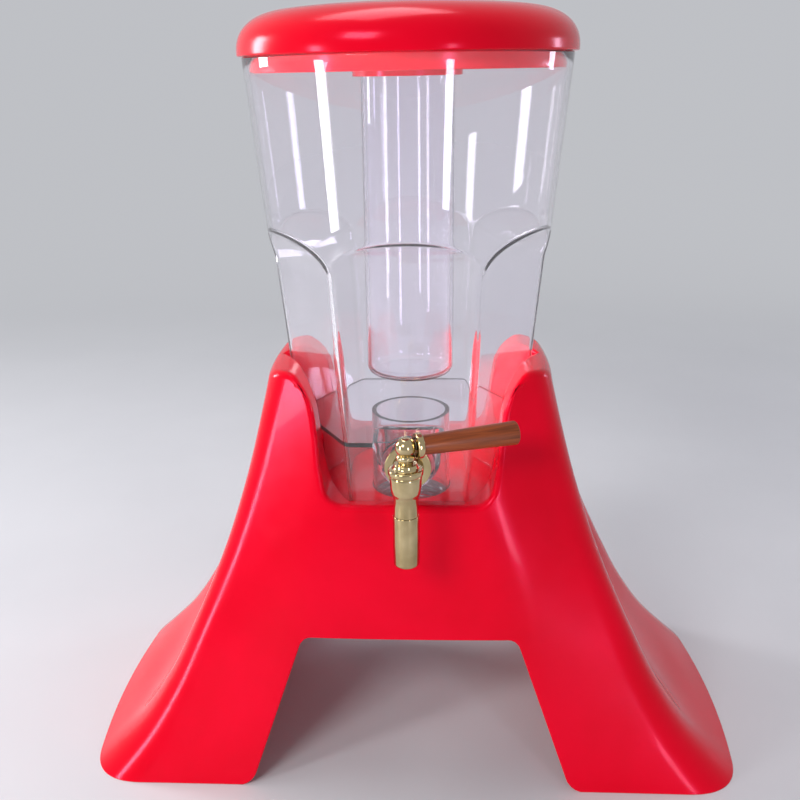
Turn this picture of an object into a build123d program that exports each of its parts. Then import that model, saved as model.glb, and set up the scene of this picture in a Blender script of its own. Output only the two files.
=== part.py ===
from build123d import *
import os
from math import cos, hypot, pi, radians, sin, sqrt

# Beer tower dispenser: a clear tank with a tap, clamped in a two-legged moulded stand, under a domed
# lid that carries an ice tube. Millimetres, +Z up, front towards -Y. Everything is modelled about the
# tank's axis, and moved at the end so that the origin is under the middle of the whole part.

# ---- running and seating clearances ---------------------------------------------------------------
SEAT_GAP = 0.3            # between faces that meet but come apart
THREAD_GAP = 0.05         # between screwed or pushed-on cylinders
RUN_GAP = 0.07            # round the turning plug
FLOAT_GAP = 0.1           # above and below the washer that the plug rubs on

# ---- tank -----------------------------------------------------------------------------------------
TANK_RIM_Z = 458.0        # top edge
TANK_RIM_R = 100.0        # outer radius at the top edge
TANK_TAPER = 0.0935       # radius lost per millimetre downwards
TANK_WALL = 3.0
TANK_FOOT_Z = 175.0       # bottom edge of the skirt, standing on the deck
TANK_FLOOR_Z = 231.0      # upper face of the floor
FACETS = 6
FACET_BITE = 0.4          # how far the facets' corners lie inside the round taper
ARCH_Z = 335.5            # where each facet turns out into its sloping ledge
ARCH_SLOPE = 0.636        # outward run of the ledge per millimetre of rise

# ---- sump and tap boss in the tank's front facet -----------------------------------------------------
SUMP_HALF_WIDTH = 17.0
SUMP_DEPTH = 28.0         # floor level down to the sump's lowest point
SUMP_LENGTH = 26.5        # from the seat back towards the hub
SUMP_ROUND = 5.0
BOSS_R = 17.0
BOSS_PROUD = 3.6          # boss face in front of the facet at the tap's height
SEAT_THICKENING = 1.3     # extra wall behind the boss, flat for the inner gasket

# ---- hub under the tank, and its ring nut -------------------------------------------------------------
HUB_R = 27.0
HUB_WALL = 3.5
HUB_BELOW_DECK = 17.0
HUB_THREAD_PITCH = 4.0
HUB_THREAD_DEPTH = 0.9
RING_NUT_R = 40.0
RING_NUT_T = 12.0
RING_NUT_GRIPS = 8
RING_NUT_GRIP_R = 5.0

# ---- lid ------------------------------------------------------------------------------------------
LID_LIP_R = 102.5
LID_HEIGHT = 28.2         # lip's lower edge to the crown
LID_SHOULDER = 25.0       # height gained over the rounded shoulder
LID_SHOULDER_RUN = 27.0   # radius lost over the shoulder
LID_WALL = 2.5
LID_SKIRT_DEPTH = 12.0
LID_SKIRT_CLEAR = 0.55    # to the tank's inner face at the skirt's lower edge

# ---- ice tube and the lid's collar --------------------------------------------------------------------
ICE_TUBE_R = 28.8
ICE_TUBE_WALL = 2.2
ICE_TUBE_FLOOR_GAP = 26.6 # from the tank's floor up to the tube's bottom
ICE_TUBE_ABOVE_RIM = 16.0 # tube's top above the tank's rim
ICE_TUBE_ROUND = 7.0
COLLAR_WALL = 2.6
COLLAR_LIP_T = 3.2        # inward lip that the lugs hang on
LUG_REACH = 1.9
LUG_T = 3.0
LUG_HALF_ANGLE = 14.0
LUG_NOTCH_MARGIN = 4.0    # degrees each side of a lug in its entry notch
LUG_SIDE_GAP = 0.4
ICE_SEAL_ABOVE_RIM = 5.0
ICE_SEAL_CORD_R = 1.0
ICE_SEAL_GROOVE = 0.5

# ---- tap ------------------------------------------------------------------------------------------
TAP_REACH = 115.0         # tank axis to the tap's upright axis
SHANK_Z = 218.0
SHANK_R = 8.0
SHANK_END = 49.0          # inner end of the shank, from the tank axis
WATERWAY_R = 3.6
BARREL_TOP_Z = 231.6      # the plug, nut, bead and ball keep their heights above this
BARREL_R = 9.3
BARREL_LOW_R = 8.3
WAIST_Z = 215.6
WAIST_R = 6.9
BARREL_COVE = 4.4         # height over which the barrel draws in to the waist
BARREL_EDGE = 0.6
SHANK_CONE_LENGTH = 9.0   # shoulder that presses on the backing disc
SHANK_CONE_SMALL_R = 7.0
SHANK_CONE_LARGE_R = 10.0
BARREL_FOOT_Z = 206.0
BARREL_FOOT_R = 7.4
BARREL_NECK_R = 7.0
BARREL_NECK_RISE = 3.4
SPIGOT_LENGTH = 7.0
SPIGOT_R = 5.2
NOZZLE_TIP_Z = 174.0
NOZZLE_R = 7.8
NOZZLE_TIP_R = 7.6
NOZZLE_BORE_R = 5.6
NOZZLE_EDGE = 0.8

# ---- plug, its collar nut and seals --------------------------------------------------------------------
PLUG_R = 5.2
PLUG_FOOT_Z = 211.6
PLUG_SHOULDER_RISE = 2.0
PLUG_NECK_R = 4.3
PORT_R = 2.8
PORT_AZIMUTH = 180.0      # the side port with the lever at rest: a quarter turn from the shank
SEAL_CORD_R = 0.42
SEAL_OFFSET = 4.4         # each seal above and below the port's axis
WASHER_R = 5.1
WASHER_BORE_R = 4.5
WASHER_T = 1.2
NUT_R = 10.2
NUT_BAND_RISE = 3.8
NUT_TOP_RISE = 6.8
NUT_TOP_R = 6.6
BEAD_RISE = 10.4
BEAD_R = 5.5
BEAD_T = 3.8
BALL_RISE = 16.6
BALL_R = 6.0
BALL_CAP = 5.7            # ball's centre up to its flat

# ---- lever ----------------------------------------------------------------------------------------
LEVER_AZIMUTH = 20.0      # at rest, from +X towards +Y
STUD_R = 2.0
STUD_IN_BALL = 3.0
STUD_IN_WOOD = 38.0
FERRULE_R = 7.5
FERRULE_T = 4.0
FERRULE_START = 5.8       # ball centre to the ferrule's near face
WOOD_LENGTH = 58.2
WOOD_NEAR_R = 5.7
WOOD_FAR_R = 7.1
WOOD_EDGE = 1.0

# ---- stack on the shank --------------------------------------------------------------------------------
OUTER_GASKET_R = 13.5
OUTER_GASKET_T = 3.3
DISC_R = 14.5
DISC_T = 1.6
INNER_GASKET_R = 12.5
INNER_GASKET_T = 2.0
INNER_WASHER_R = 12.0
INNER_WASHER_T = 1.5
LOCK_NUT_FLATS = 20.0
LOCK_NUT_T = 6.0

# ---- stand ----------------------------------------------------------------------------------------
STAND_WALL = 3.0
DECK_T = 3.0
POCKET_GAP_DECK = 0.6     # round the tank's corners at the deck
POCKET_GAP_HORN = 2.6     # and at the horns' height
HORN_Z = 272.0
RIDGE_AZIMUTH = 26.0      # each leg's ridge, from the X axis
SIDE_BLEND = 0.4          # share of the way from ridge to side that stays straight
PANEL_BULGE = 1.2         # how far the front face's middle stands out
CREASE_ROUND = 13.0
RIDGE_INSET = 1.35        # how much faster the ridge moves inwards than the faces beside it

# Each level of the stand's outer form: height, front face, crease half-width, ridge, side reach, and
# the length over which the ridge is rounded.
STAND_LEVELS = (
    (0.0, 105.0, 112.0, 240.0, 224.0, 34.0),
    (10.0, 103.5, 106.0, 230.0, 211.0, 32.0),
    (30.0, 100.0, 96.0, 212.0, 184.0, 29.0),
    (60.0, 95.2, 85.0, 191.0, 156.0, 26.0),
    (100.0, 88.8, 74.0, 169.0, 131.0, 23.0),
    (150.0, 81.2, 65.0, 143.5, 111.0, 20.0),
    (200.0, 74.4, 51.0, 122.0, 101.5, 17.0),
    (250.0, 68.0, 42.0, 104.5, 94.0, 14.0),
    (280.0, 64.2, 37.0, 94.0, 91.0, 12.0),
)

# Front view of the top edge, as half-width and height: points from the valley up the horn, then the
# control points of the curve over the horn's tip.
SADDLE = ((40.0, 192.0), (49.5, 195.5), (54.5, 211.0), (57.2, 235.0), (60.5, 253.0), (66.5, 264.0))
HORN_TIP = ((76.0, 270.8), (90.0, 271.2), (95.0, 265.0), (102.0, 252.0))

# Front view of the arch between the legs.
ARCH_TOP_Z = 104.0
ARCH_TOP_HALF = 69.0
ARCH_FOOT_HALF = 105.5
ARCH_TOP_ROUND = 8.0
ARCH_FOOT_ROUND = 14.0
ARCH_SILL = 60.0          # how far the arch's cutter runs out along the floor past each foot
ARCH_SILL_Z = -0.4

# ---- worked out from the above --------------------------------------------------------------------------
SHANK_LEVEL_R = TANK_RIM_R - TANK_TAPER * (TANK_RIM_Z - SHANK_Z)
BOSS_FACE_Y = -(cos(pi / FACETS) * (SHANK_LEVEL_R - FACET_BITE) + BOSS_PROUD)
SEAT_FACE_Y = BOSS_FACE_Y + BOSS_PROUD + TANK_WALL + SEAT_THICKENING
LID_SEAT_Z = TANK_RIM_Z + SEAT_GAP
DECK_Z = TANK_FOOT_Z
ICE_TUBE_BOTTOM_Z = TANK_FLOOR_Z + ICE_TUBE_FLOOR_GAP
ICE_TUBE_TOP_Z = TANK_RIM_Z + ICE_TUBE_ABOVE_RIM
ICE_SEAL_Z = TANK_RIM_Z + ICE_SEAL_ABOVE_RIM
BARREL_NECK_TOP_Z = BARREL_TOP_Z + BARREL_NECK_RISE
PLUG_SHOULDER_Z = BARREL_TOP_Z + PLUG_SHOULDER_RISE
NUT_BAND_Z = BARREL_TOP_Z + NUT_BAND_RISE
NUT_TOP_Z = BARREL_TOP_Z + NUT_TOP_RISE
BEAD_Z = BARREL_TOP_Z + BEAD_RISE
BALL_Z = BARREL_TOP_Z + BALL_RISE
BALL_FLAT_Z = BALL_Z + BALL_CAP
STAND_REAR_Y = STAND_LEVELS[0][1]
BEYOND = 20.0             # how far a cutter reaches past what it cuts
PART_CENTRE_Y = (STAND_REAR_Y - TAP_REACH - NUT_R) / 2


def tank_radius(z, inset=0.0):
    """Radius of the tank's round taper at a height, moved inwards by inset."""
    return TANK_RIM_R - TANK_TAPER * (TANK_RIM_Z - z) - inset * sqrt(1 + TANK_TAPER ** 2)


def facet_distance(z, inset=0.0):
    """Distance of a facet from the axis at a height, moved inwards by inset."""
    lean = cos(pi / FACETS) * TANK_TAPER
    return cos(pi / FACETS) * (tank_radius(z) - FACET_BITE) - inset * sqrt(1 + lean ** 2)


def turned(r0, r1, z0, z1):
    """Solid taper about the Z axis between two heights."""
    return Pos(0, 0, z0) * Cone(r0, r1, z1 - z0, align=(Align.CENTER, Align.CENTER, Align.MIN))


def rod(radius, z0, z1, x=0.0, y=0.0):
    """Upright cylinder between two heights."""
    return Pos(x, y, z0) * Cylinder(radius, z1 - z0, align=(Align.CENTER, Align.CENTER, Align.MIN))


def ring(outer, inner, z0, z1):
    """Upright ring between two heights."""
    return rod(outer, z0, z1) - rod(inner, z0 - 1, z1 + 1)


def along_y(shape, y, z):
    """Carries a shape built on the Z axis so that its axis runs along +Y from y, at height z."""
    return Pos(0, y, z) * Rot(-90, 0, 0) * shape


def prism_y(wire_sketch, y0, y1):
    """Extrudes a sketch drawn in the XZ plane (as X, Z) from y0 to y1."""
    return Pos(0, y1, 0) * Rot(90, 0, 0) * extrude(wire_sketch, y1 - y0)


def revolved(points):
    """Turns a closed outline of (radius, height) points about the Z axis."""
    return revolve(Plane.XZ * make_face(Polyline(*points, close=True)), Axis.Z)


# ---- tank -----------------------------------------------------------------------------------------


def tank_form(inset, bottom, top):
    """Round taper whose lower part is cut to six facets that end in arches."""
    form = turned(tank_radius(bottom, inset), tank_radius(top, inset), bottom, top)
    lean = cos(pi / FACETS) * TANK_TAPER
    crease_rise = inset * (sqrt(1 + ARCH_SLOPE ** 2) - sqrt(1 + lean ** 2)) / (ARCH_SLOPE - lean)
    crease_z = ARCH_Z + crease_rise
    ledge = 60.0
    low = bottom - BEYOND
    outside = TANK_RIM_R + BEYOND + ledge
    outline = Polyline(
        (facet_distance(low, inset), low),
        (facet_distance(crease_z, inset), crease_z),
        (facet_distance(crease_z, inset) + ARCH_SLOPE * ledge, crease_z + ledge),
        (outside, crease_z + ledge),
        (outside, low),
        close=True,
    )
    width = TANK_RIM_R
    cutter = extrude(Plane.XZ * make_face(outline), width / 2, both=True)
    for k in range(FACETS):
        form -= Rot(0, 0, 30 + 360 / FACETS * k) * cutter
    return form


def sump_block(half_width, bottom_z, top_z, y0, y1):
    """Block with a half-round bottom, running along Y."""
    centre = bottom_z + half_width
    round_part = Pos(0, centre) * Circle(half_width)
    square_part = Pos(0, (centre + top_z) / 2) * Rectangle(2 * half_width, top_z - centre)
    whole_height = Pos(0, (bottom_z + top_z) / 2) * Rectangle(2 * half_width, top_z - bottom_z)
    return prism_y((round_part + square_part) & whole_height, y0, y1)


def hub_thread():
    """Outline of the hub's outside: ridges as far up as the deck, plain above."""
    foot = DECK_Z - DECK_T - HUB_BELOW_DECK
    root = HUB_R - HUB_THREAD_DEPTH
    points = [(HUB_R - HUB_WALL, foot), (root, foot)]
    z = foot + 1.0
    while z + HUB_THREAD_PITCH < DECK_Z - DECK_T:
        points += [(root, z), (HUB_R, z + 1.0), (HUB_R, z + 2.0), (root, z + 3.0)]
        z += HUB_THREAD_PITCH
    points += [(root, DECK_Z - DECK_T), (HUB_R, DECK_Z - DECK_T + 1.0)]
    points += [(HUB_R, TANK_FLOOR_Z - 1.0), (HUB_R - HUB_WALL, TANK_FLOOR_Z - 1.0)]
    return revolved(points)


def make_tank():
    """Vessel: shell, floor, sump with its tap boss, skirt and threaded hub."""
    underside = TANK_FLOOR_Z - TANK_WALL
    sump_low = TANK_FLOOR_Z - SUMP_DEPTH
    sump_back = SEAT_FACE_Y + SUMP_LENGTH
    shell = tank_form(0.0, TANK_FOOT_Z, TANK_RIM_Z)
    shell -= tank_form(TANK_WALL, TANK_FLOOR_Z, TANK_RIM_Z + BEYOND)
    shell -= tank_form(TANK_WALL, TANK_FOOT_Z - BEYOND, underside)
    sump_front = BOSS_FACE_Y + BOSS_PROUD
    shell += sump_block(
        SUMP_HALF_WIDTH + TANK_WALL, sump_low - TANK_WALL, TANK_FLOOR_Z, sump_front, sump_back + TANK_WALL
    )
    boss = Cylinder(BOSS_R, SEAT_FACE_Y - BOSS_FACE_Y, align=(Align.CENTER, Align.CENTER, Align.MIN))
    shell += along_y(boss, BOSS_FACE_Y, SHANK_Z)
    shell += hub_thread()
    void = sump_block(SUMP_HALF_WIDTH, sump_low, TANK_FLOOR_Z + 1.0, SEAT_FACE_Y, sump_back)
    back_edges = void.edges().filter_by(Plane.XZ).group_by(Axis.Y)[-1]
    void = fillet(back_edges, SUMP_ROUND)
    shell -= void
    hole = Cylinder(SHANK_R + THREAD_GAP, 40, align=(Align.CENTER, Align.CENTER, Align.MIN))
    shell -= along_y(hole, BOSS_FACE_Y - 10, SHANK_Z)
    return shell


def make_ring_nut():
    """Ring nut with finger grips, drawn up under the deck."""
    top = DECK_Z - DECK_T
    nut = ring(RING_NUT_R, HUB_R + THREAD_GAP, top - RING_NUT_T, top)
    for k in range(RING_NUT_GRIPS):
        grip = rod(RING_NUT_GRIP_R, top - RING_NUT_T - 1, top - 2.5, x=RING_NUT_R + RING_NUT_GRIP_R * 0.45)
        nut -= Rot(0, 0, 360 / RING_NUT_GRIPS * (k + 0.5)) * grip
    return nut


# ---- lid and ice tube -----------------------------------------------------------------------------


def dome_face(drop, lip_r, foot_z):
    """Half section of the dome, its outer line lowered and drawn in by drop."""
    crown = LID_SEAT_Z + LID_HEIGHT - drop
    shoulder_z = LID_SEAT_Z + LID_SHOULDER - drop
    shoulder_r = LID_LIP_R - LID_SHOULDER_RUN
    edge = Line((0, foot_z), (lip_r, foot_z))
    wall = Line((lip_r, foot_z), (lip_r, LID_SEAT_Z + 3.0))
    shoulder = Spline(
        (lip_r, LID_SEAT_Z + 3.0),
        (lip_r - 7.5, LID_SEAT_Z + 3.0 + (shoulder_z - LID_SEAT_Z - 3.0) * 0.72),
        (shoulder_r, shoulder_z),
        tangents=((0, 1), (-1, 0.13)),
    )
    top = Spline((shoulder_r, shoulder_z), (0, crown), tangents=((-1, 0.13), (-1, 0)))
    axis = Line((0, crown), (0, foot_z))
    return make_face(edge + wall + shoulder + top + axis)


def make_lid():
    """Domed lid: overhanging lip, seat on the tank's rim, inner skirt, and the ice tube's collar."""
    web_top = LID_SEAT_Z + 2.0
    lid = revolve(Plane.XZ * dome_face(0.0, LID_LIP_R, LID_SEAT_Z), Axis.Z)
    lid -= revolve(Plane.XZ * dome_face(LID_WALL, LID_LIP_R - LID_WALL, web_top), Axis.Z)
    skirt_foot = TANK_RIM_Z - LID_SKIRT_DEPTH
    skirt_r = tank_radius(skirt_foot, TANK_WALL) - LID_SKIRT_CLEAR
    lid -= rod(skirt_r - LID_WALL, LID_SEAT_Z - 1, web_top + 1)
    lid += ring(skirt_r, skirt_r - LID_WALL, skirt_foot, web_top)
    bore = ICE_TUBE_R + LUG_REACH + LUG_SIDE_GAP
    collar = rod(bore + COLLAR_WALL, skirt_foot, LID_SEAT_Z + LID_HEIGHT - LID_WALL / 2)
    collar -= rod(bore, skirt_foot + COLLAR_LIP_T, ICE_TUBE_TOP_Z + BEYOND)
    collar -= rod(ICE_TUBE_R + LUG_SIDE_GAP, skirt_foot - 1, skirt_foot + COLLAR_LIP_T + 1)
    notch = LUG_HALF_ANGLE + LUG_NOTCH_MARGIN
    collar -= lug_pair(bore + SEAT_GAP, skirt_foot - 1, skirt_foot + COLLAR_LIP_T + 1, notch, 90)
    return lid + collar


def lug_pair(radius, z0, z1, half_angle, turn):
    """Two opposite sectors out to a radius, centred on the given direction."""
    sector = Pos(0, 0, z0) * Cylinder(
        radius, z1 - z0, arc_size=2 * half_angle, align=(Align.NONE, Align.NONE, Align.MIN)
    )
    return Rot(0, 0, turn - half_angle) * sector + Rot(0, 0, turn + 180 - half_angle) * sector


def make_ice_tube():
    """Closed tube that hangs in the collar on two lugs."""
    tube = rod(ICE_TUBE_R, ICE_TUBE_BOTTOM_Z, ICE_TUBE_TOP_Z)
    tube = fillet(tube.edges().group_by(Axis.Z)[0], ICE_TUBE_ROUND)
    bore = rod(ICE_TUBE_R - ICE_TUBE_WALL, ICE_TUBE_BOTTOM_Z + ICE_TUBE_WALL, ICE_TUBE_TOP_Z + 1)
    bore = fillet(bore.edges().group_by(Axis.Z)[0], ICE_TUBE_ROUND - ICE_TUBE_WALL)
    lug_z = TANK_RIM_Z - LID_SKIRT_DEPTH + COLLAR_LIP_T + SEAT_GAP
    tube += lug_pair(ICE_TUBE_R + LUG_REACH, lug_z, lug_z + LUG_T, LUG_HALF_ANGLE, 0)
    tube -= bore
    groove_r = ICE_TUBE_R - ICE_SEAL_GROOVE
    half = ICE_SEAL_CORD_R + FLOAT_GAP
    tube -= ring(ICE_TUBE_R + 1, groove_r, ICE_SEAL_Z - half, ICE_SEAL_Z + half)
    return tube


def make_ice_seal():
    """O-ring in the tube's groove."""
    ring_r = ICE_TUBE_R - ICE_SEAL_GROOVE + ICE_SEAL_CORD_R + THREAD_GAP
    return Pos(0, 0, ICE_SEAL_Z) * Torus(ring_r, ICE_SEAL_CORD_R)


# ---- tap ------------------------------------------------------------------------------------------


def at_tap(shape):
    """Carries a shape built about the Z axis to the tap's upright axis."""
    return Pos(0, -TAP_REACH, 0) * shape


def make_tap_body():
    """Upright barrel, spigot for the nozzle, and the shank through the tank's wall."""
    barrel = revolved(
        [
            (0, BARREL_FOOT_Z - SPIGOT_LENGTH),
            (SPIGOT_R, BARREL_FOOT_Z - SPIGOT_LENGTH),
            (SPIGOT_R, BARREL_FOOT_Z),
            (BARREL_FOOT_R, BARREL_FOOT_Z),
            (WAIST_R, WAIST_Z),
            (BARREL_LOW_R, WAIST_Z + BARREL_COVE),
            (BARREL_R, BARREL_TOP_Z - 1.0),
            (BARREL_R - BARREL_EDGE, BARREL_TOP_Z),
            (BARREL_NECK_R, BARREL_TOP_Z),
            (BARREL_NECK_R, BARREL_NECK_TOP_Z),
            (0, BARREL_NECK_TOP_Z),
        ]
    )
    disc_y = BOSS_FACE_Y - OUTER_GASKET_T - DISC_T
    shank = Cylinder(SHANK_R, TAP_REACH - SHANK_END, align=(Align.CENTER, Align.CENTER, Align.MIN))
    shoulder = Cone(
        SHANK_CONE_SMALL_R, SHANK_CONE_LARGE_R, SHANK_CONE_LENGTH, align=(Align.CENTER, Align.CENTER, Align.MIN)
    )
    body = at_tap(barrel) + along_y(shank, -TAP_REACH, SHANK_Z)
    body += along_y(shoulder, disc_y - SHANK_CONE_LENGTH, SHANK_Z)
    body -= at_tap(rod(PLUG_R + RUN_GAP, PLUG_FOOT_Z - SEAT_GAP, BARREL_NECK_TOP_Z + 1))
    body -= at_tap(rod(WATERWAY_R, BARREL_FOOT_Z - SPIGOT_LENGTH - 1, PLUG_FOOT_Z))
    way = Cylinder(WATERWAY_R, TAP_REACH - SHANK_END + 1, align=(Align.CENTER, Align.CENTER, Align.MIN))
    return body - along_y(way, -TAP_REACH, SHANK_Z)


def make_nozzle():
    """Spout tube pushed up over the spigot."""
    seam = BARREL_FOOT_Z
    tube = revolved(
        [
            (NOZZLE_BORE_R, NOZZLE_TIP_Z),
            (NOZZLE_TIP_R - NOZZLE_EDGE, NOZZLE_TIP_Z),
            (NOZZLE_TIP_R, NOZZLE_TIP_Z + NOZZLE_EDGE),
            (NOZZLE_R, (NOZZLE_TIP_Z + seam) / 2),
            (BARREL_FOOT_R + 0.2, seam),
            (SPIGOT_R + THREAD_GAP, seam),
            (SPIGOT_R + THREAD_GAP, seam - SPIGOT_LENGTH),
            (NOZZLE_BORE_R, seam - SPIGOT_LENGTH),
        ]
    )
    return at_tap(tube)


def make_plug():
    """Turning plug: side port into a downward port, seal grooves, neck, bead and ball."""
    stem = revolved(
        [
            (0, PLUG_FOOT_Z),
            (PLUG_R, PLUG_FOOT_Z),
            (PLUG_R, PLUG_SHOULDER_Z),
            (PLUG_NECK_R, PLUG_SHOULDER_Z),
            (PLUG_NECK_R, BEAD_Z - BEAD_T / 2),
            (BEAD_R - 0.8, BEAD_Z - BEAD_T / 2),
            (BEAD_R, BEAD_Z - BEAD_T / 4),
            (BEAD_R, BEAD_Z + BEAD_T / 4),
            (BEAD_R - 0.8, BEAD_Z + BEAD_T / 2),
            (PLUG_NECK_R, BEAD_Z + BEAD_T / 2),
            (PLUG_NECK_R, BALL_Z),
            (0, BALL_Z),
        ]
    )
    ball = Pos(0, 0, BALL_Z) * Sphere(BALL_R) - rod(BALL_R + 1, BALL_FLAT_Z, BALL_FLAT_Z + BALL_R)
    plug = stem + ball
    plug -= rod(PORT_R, PLUG_FOOT_Z - 1, SHANK_Z)
    side = Pos(0, 0, SHANK_Z) * Rot(0, 90, 0) * Cylinder(PORT_R, 10, align=(Align.CENTER, Align.CENTER, Align.MIN))
    plug -= Rot(0, 0, PORT_AZIMUTH) * side
    groove_r = PLUG_R - 2 * SEAL_CORD_R
    half = SEAL_CORD_R + FLOAT_GAP
    for z in (SHANK_Z - SEAL_OFFSET, SHANK_Z + SEAL_OFFSET):
        plug -= ring(PLUG_R + 1, groove_r, z - half, z + half)
    plug = at_tap(plug)
    return plug - along_lever(STUD_R + THREAD_GAP, -STUD_IN_BALL, BALL_R + 1)


def make_plug_seals():
    """Two square-cut sealing rings, one each side of the port."""
    inner = PLUG_R - 2 * SEAL_CORD_R + THREAD_GAP
    low, high = (
        ring(PLUG_R, inner, z - SEAL_CORD_R, z + SEAL_CORD_R)
        for z in (SHANK_Z - SEAL_OFFSET, SHANK_Z + SEAL_OFFSET)
    )
    return at_tap(low + high)


def make_friction_washer():
    """Washer between the plug's shoulder and the collar nut."""
    foot = PLUG_SHOULDER_Z + FLOAT_GAP
    return at_tap(ring(WASHER_R, WASHER_BORE_R, foot, foot + WASHER_T))


def make_collar_nut():
    """Stepped nut over the barrel's neck, with the plug's neck through it."""
    web = BARREL_NECK_TOP_Z + THREAD_GAP
    nut = revolved(
        [
            (BARREL_NECK_R + THREAD_GAP, BARREL_TOP_Z),
            (NUT_R - 0.6, BARREL_TOP_Z),
            (NUT_R, BARREL_TOP_Z + 0.6),
            (NUT_R, NUT_BAND_Z - 0.6),
            (NUT_R - 0.6, NUT_BAND_Z),
            (NUT_TOP_R + 1.2, NUT_BAND_Z),
            (NUT_TOP_R, NUT_TOP_Z),
            (PLUG_NECK_R + RUN_GAP, NUT_TOP_Z),
            (PLUG_NECK_R + RUN_GAP, web),
            (BARREL_NECK_R + THREAD_GAP, web),
        ]
    )
    return at_tap(nut)


# ---- lever ----------------------------------------------------------------------------------------


def lever_place(shape, start):
    """Carries a shape built up the Z axis to the lever's line, start away from the ball's centre."""
    return Pos(0, -TAP_REACH, BALL_Z) * Rot(0, 0, LEVER_AZIMUTH) * Rot(0, 90, 0) * Pos(0, 0, start) * shape


def along_lever(radius, start, end):
    """Cylinder on the lever's line."""
    return lever_place(Cylinder(radius, end - start, align=(Align.CENTER, Align.CENTER, Align.MIN)), start)


def make_stud():
    """Threaded stud from the ball into the wood."""
    wood_start = FERRULE_START + FERRULE_T
    return along_lever(STUD_R, -STUD_IN_BALL + THREAD_GAP, wood_start + STUD_IN_WOOD)


def make_ferrule():
    """Metal disc between the ball and the wood."""
    disc = Cylinder(FERRULE_R, FERRULE_T, align=(Align.CENTER, Align.CENTER, Align.MIN))
    disc = fillet(disc.edges(), 0.8)
    disc -= Cylinder(STUD_R + THREAD_GAP, 3 * FERRULE_T)
    return lever_place(disc, FERRULE_START)


def make_wood():
    """Turned wooden grip, wider at its free end."""
    taper = Cone(WOOD_NEAR_R, WOOD_FAR_R, WOOD_LENGTH, align=(Align.CENTER, Align.CENTER, Align.MIN))
    taper = fillet(taper.edges().group_by(Axis.Z)[-1], WOOD_EDGE)
    taper -= Cylinder(STUD_R + THREAD_GAP, 2 * (STUD_IN_WOOD + 1))
    return lever_place(taper, FERRULE_START + FERRULE_T)


# ---- stack on the shank ---------------------------------------------------------------------------


def shank_ring(radius, y0, thickness):
    """Ring round the shank, from y0 inwards."""
    blank = Cylinder(radius, thickness, align=(Align.CENTER, Align.CENTER, Align.MIN))
    blank -= Cylinder(SHANK_R + THREAD_GAP, 3 * thickness)
    return along_y(blank, y0, SHANK_Z)


def make_lock_nut():
    """Hexagon nut on the shank's inner end."""
    corner = LOCK_NUT_FLATS / 2 / cos(pi / 6)
    blank = extrude(RegularPolygon(corner, 6), LOCK_NUT_T)
    blank -= Cylinder(SHANK_R + THREAD_GAP, 3 * LOCK_NUT_T)
    return along_y(blank, SEAT_FACE_Y + INNER_GASKET_T + INNER_WASHER_T, SHANK_Z)


# ---- stand ----------------------------------------------------------------------------------------


def toward(start, end, distance):
    """Point a distance along the line from start to end."""
    share = distance / hypot(end[0] - start[0], end[1] - start[1])
    return tuple(start[i] + (end[i] - start[i]) * share for i in (0, 1))


def stand_quarter(level, inset):
    """One quarter of a level's outline, as curves by their control points: half the front face, its
    rounded crease, the leg's face, the rounded ridge, the flank, and the flank's hollow or bulge."""
    _, front, crease, ridge, side, ease = level
    front, crease, ridge, side = front - inset, crease - inset / 3, ridge - RIDGE_INSET * inset, side - inset
    spine = (ridge * cos(radians(RIDGE_AZIMUTH)), -ridge * sin(radians(RIDGE_AZIMUTH)))
    flank = ((2 * side - (1 - SIDE_BLEND) * spine[0]) / (1 + SIDE_BLEND), 0.0)
    bend = (crease, -front)
    panel_end = (crease - CREASE_ROUND, -front - PANEL_BULGE * (1 - (1 - CREASE_ROUND / crease) ** 2))
    crease_end = toward(bend, spine, CREASE_ROUND)
    ridge_start = toward(spine, bend, ease - inset)
    ridge_end = toward(spine, flank, ease - inset)
    hollow = tuple(spine[i] + SIDE_BLEND * (flank[i] - spine[i]) for i in (0, 1))
    lead = ((hollow[0] + flank[0]) / 2, (hollow[1] + flank[1]) / 2)
    return [
        [(0.0, -front - PANEL_BULGE), (panel_end[0] / 2, -front - PANEL_BULGE), panel_end],
        [panel_end, bend, crease_end],
        [crease_end, ridge_start],
        [ridge_start, spine, ridge_end],
        [ridge_end, hollow],
        [hollow, lead, (side, 0.0)],
    ]


def stand_level(level, inset):
    """Face of one whole level, the quarter mirrored front to back and left to right."""
    quarter = stand_quarter(level, inset)
    rear = [[(x, -y) for x, y in reversed(curve)] for curve in reversed(quarter)]
    half = quarter + rear
    other = [[(-x, y) for x, y in reversed(curve)] for curve in reversed(half)]
    return Pos(0, 0, level[0]) * Face(Wire([Bezier(*curve) for curve in half + other]))


def stand_form(inset):
    """Solid outer form of the stand, moved inwards by inset."""
    return loft([stand_level(level, inset) for level in STAND_LEVELS])


def above(curves):
    """Everything above a front-view edge, given from the valley outwards, and above its mirror image."""
    start, end = curves[0] @ 0, curves[-1] @ 1
    mirrored = [mirror(curve, Plane.YZ) for curve in curves]
    high = HORN_Z + 4 * BEYOND
    wide = STAND_LEVELS[-1][4] + BEYOND
    rest = Polyline(
        (end.X, end.Y), (wide, end.Y), (wide, high), (-wide, high), (-wide, end.Y), (-end.X, end.Y)
    )
    valley = Line((-start.X, start.Y), (start.X, start.Y))
    reach = 2 * STAND_REAR_Y
    return prism_y(make_face([*curves, rest, *mirrored, valley]), -reach, reach)


def cavity_roof():
    """Everything above the hollow inside: the top edge's inner side moved by the wall, then level."""
    edge = [(x + STAND_WALL, z - STAND_WALL) for x, z in SADDLE]
    edge.append((SADDLE[-1][0] + 2 * STAND_WALL, SADDLE[-1][1] - STAND_WALL + 1.0))
    return above([Spline(*edge, tangents=((1, 0), (1, 0.1)))])


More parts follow.
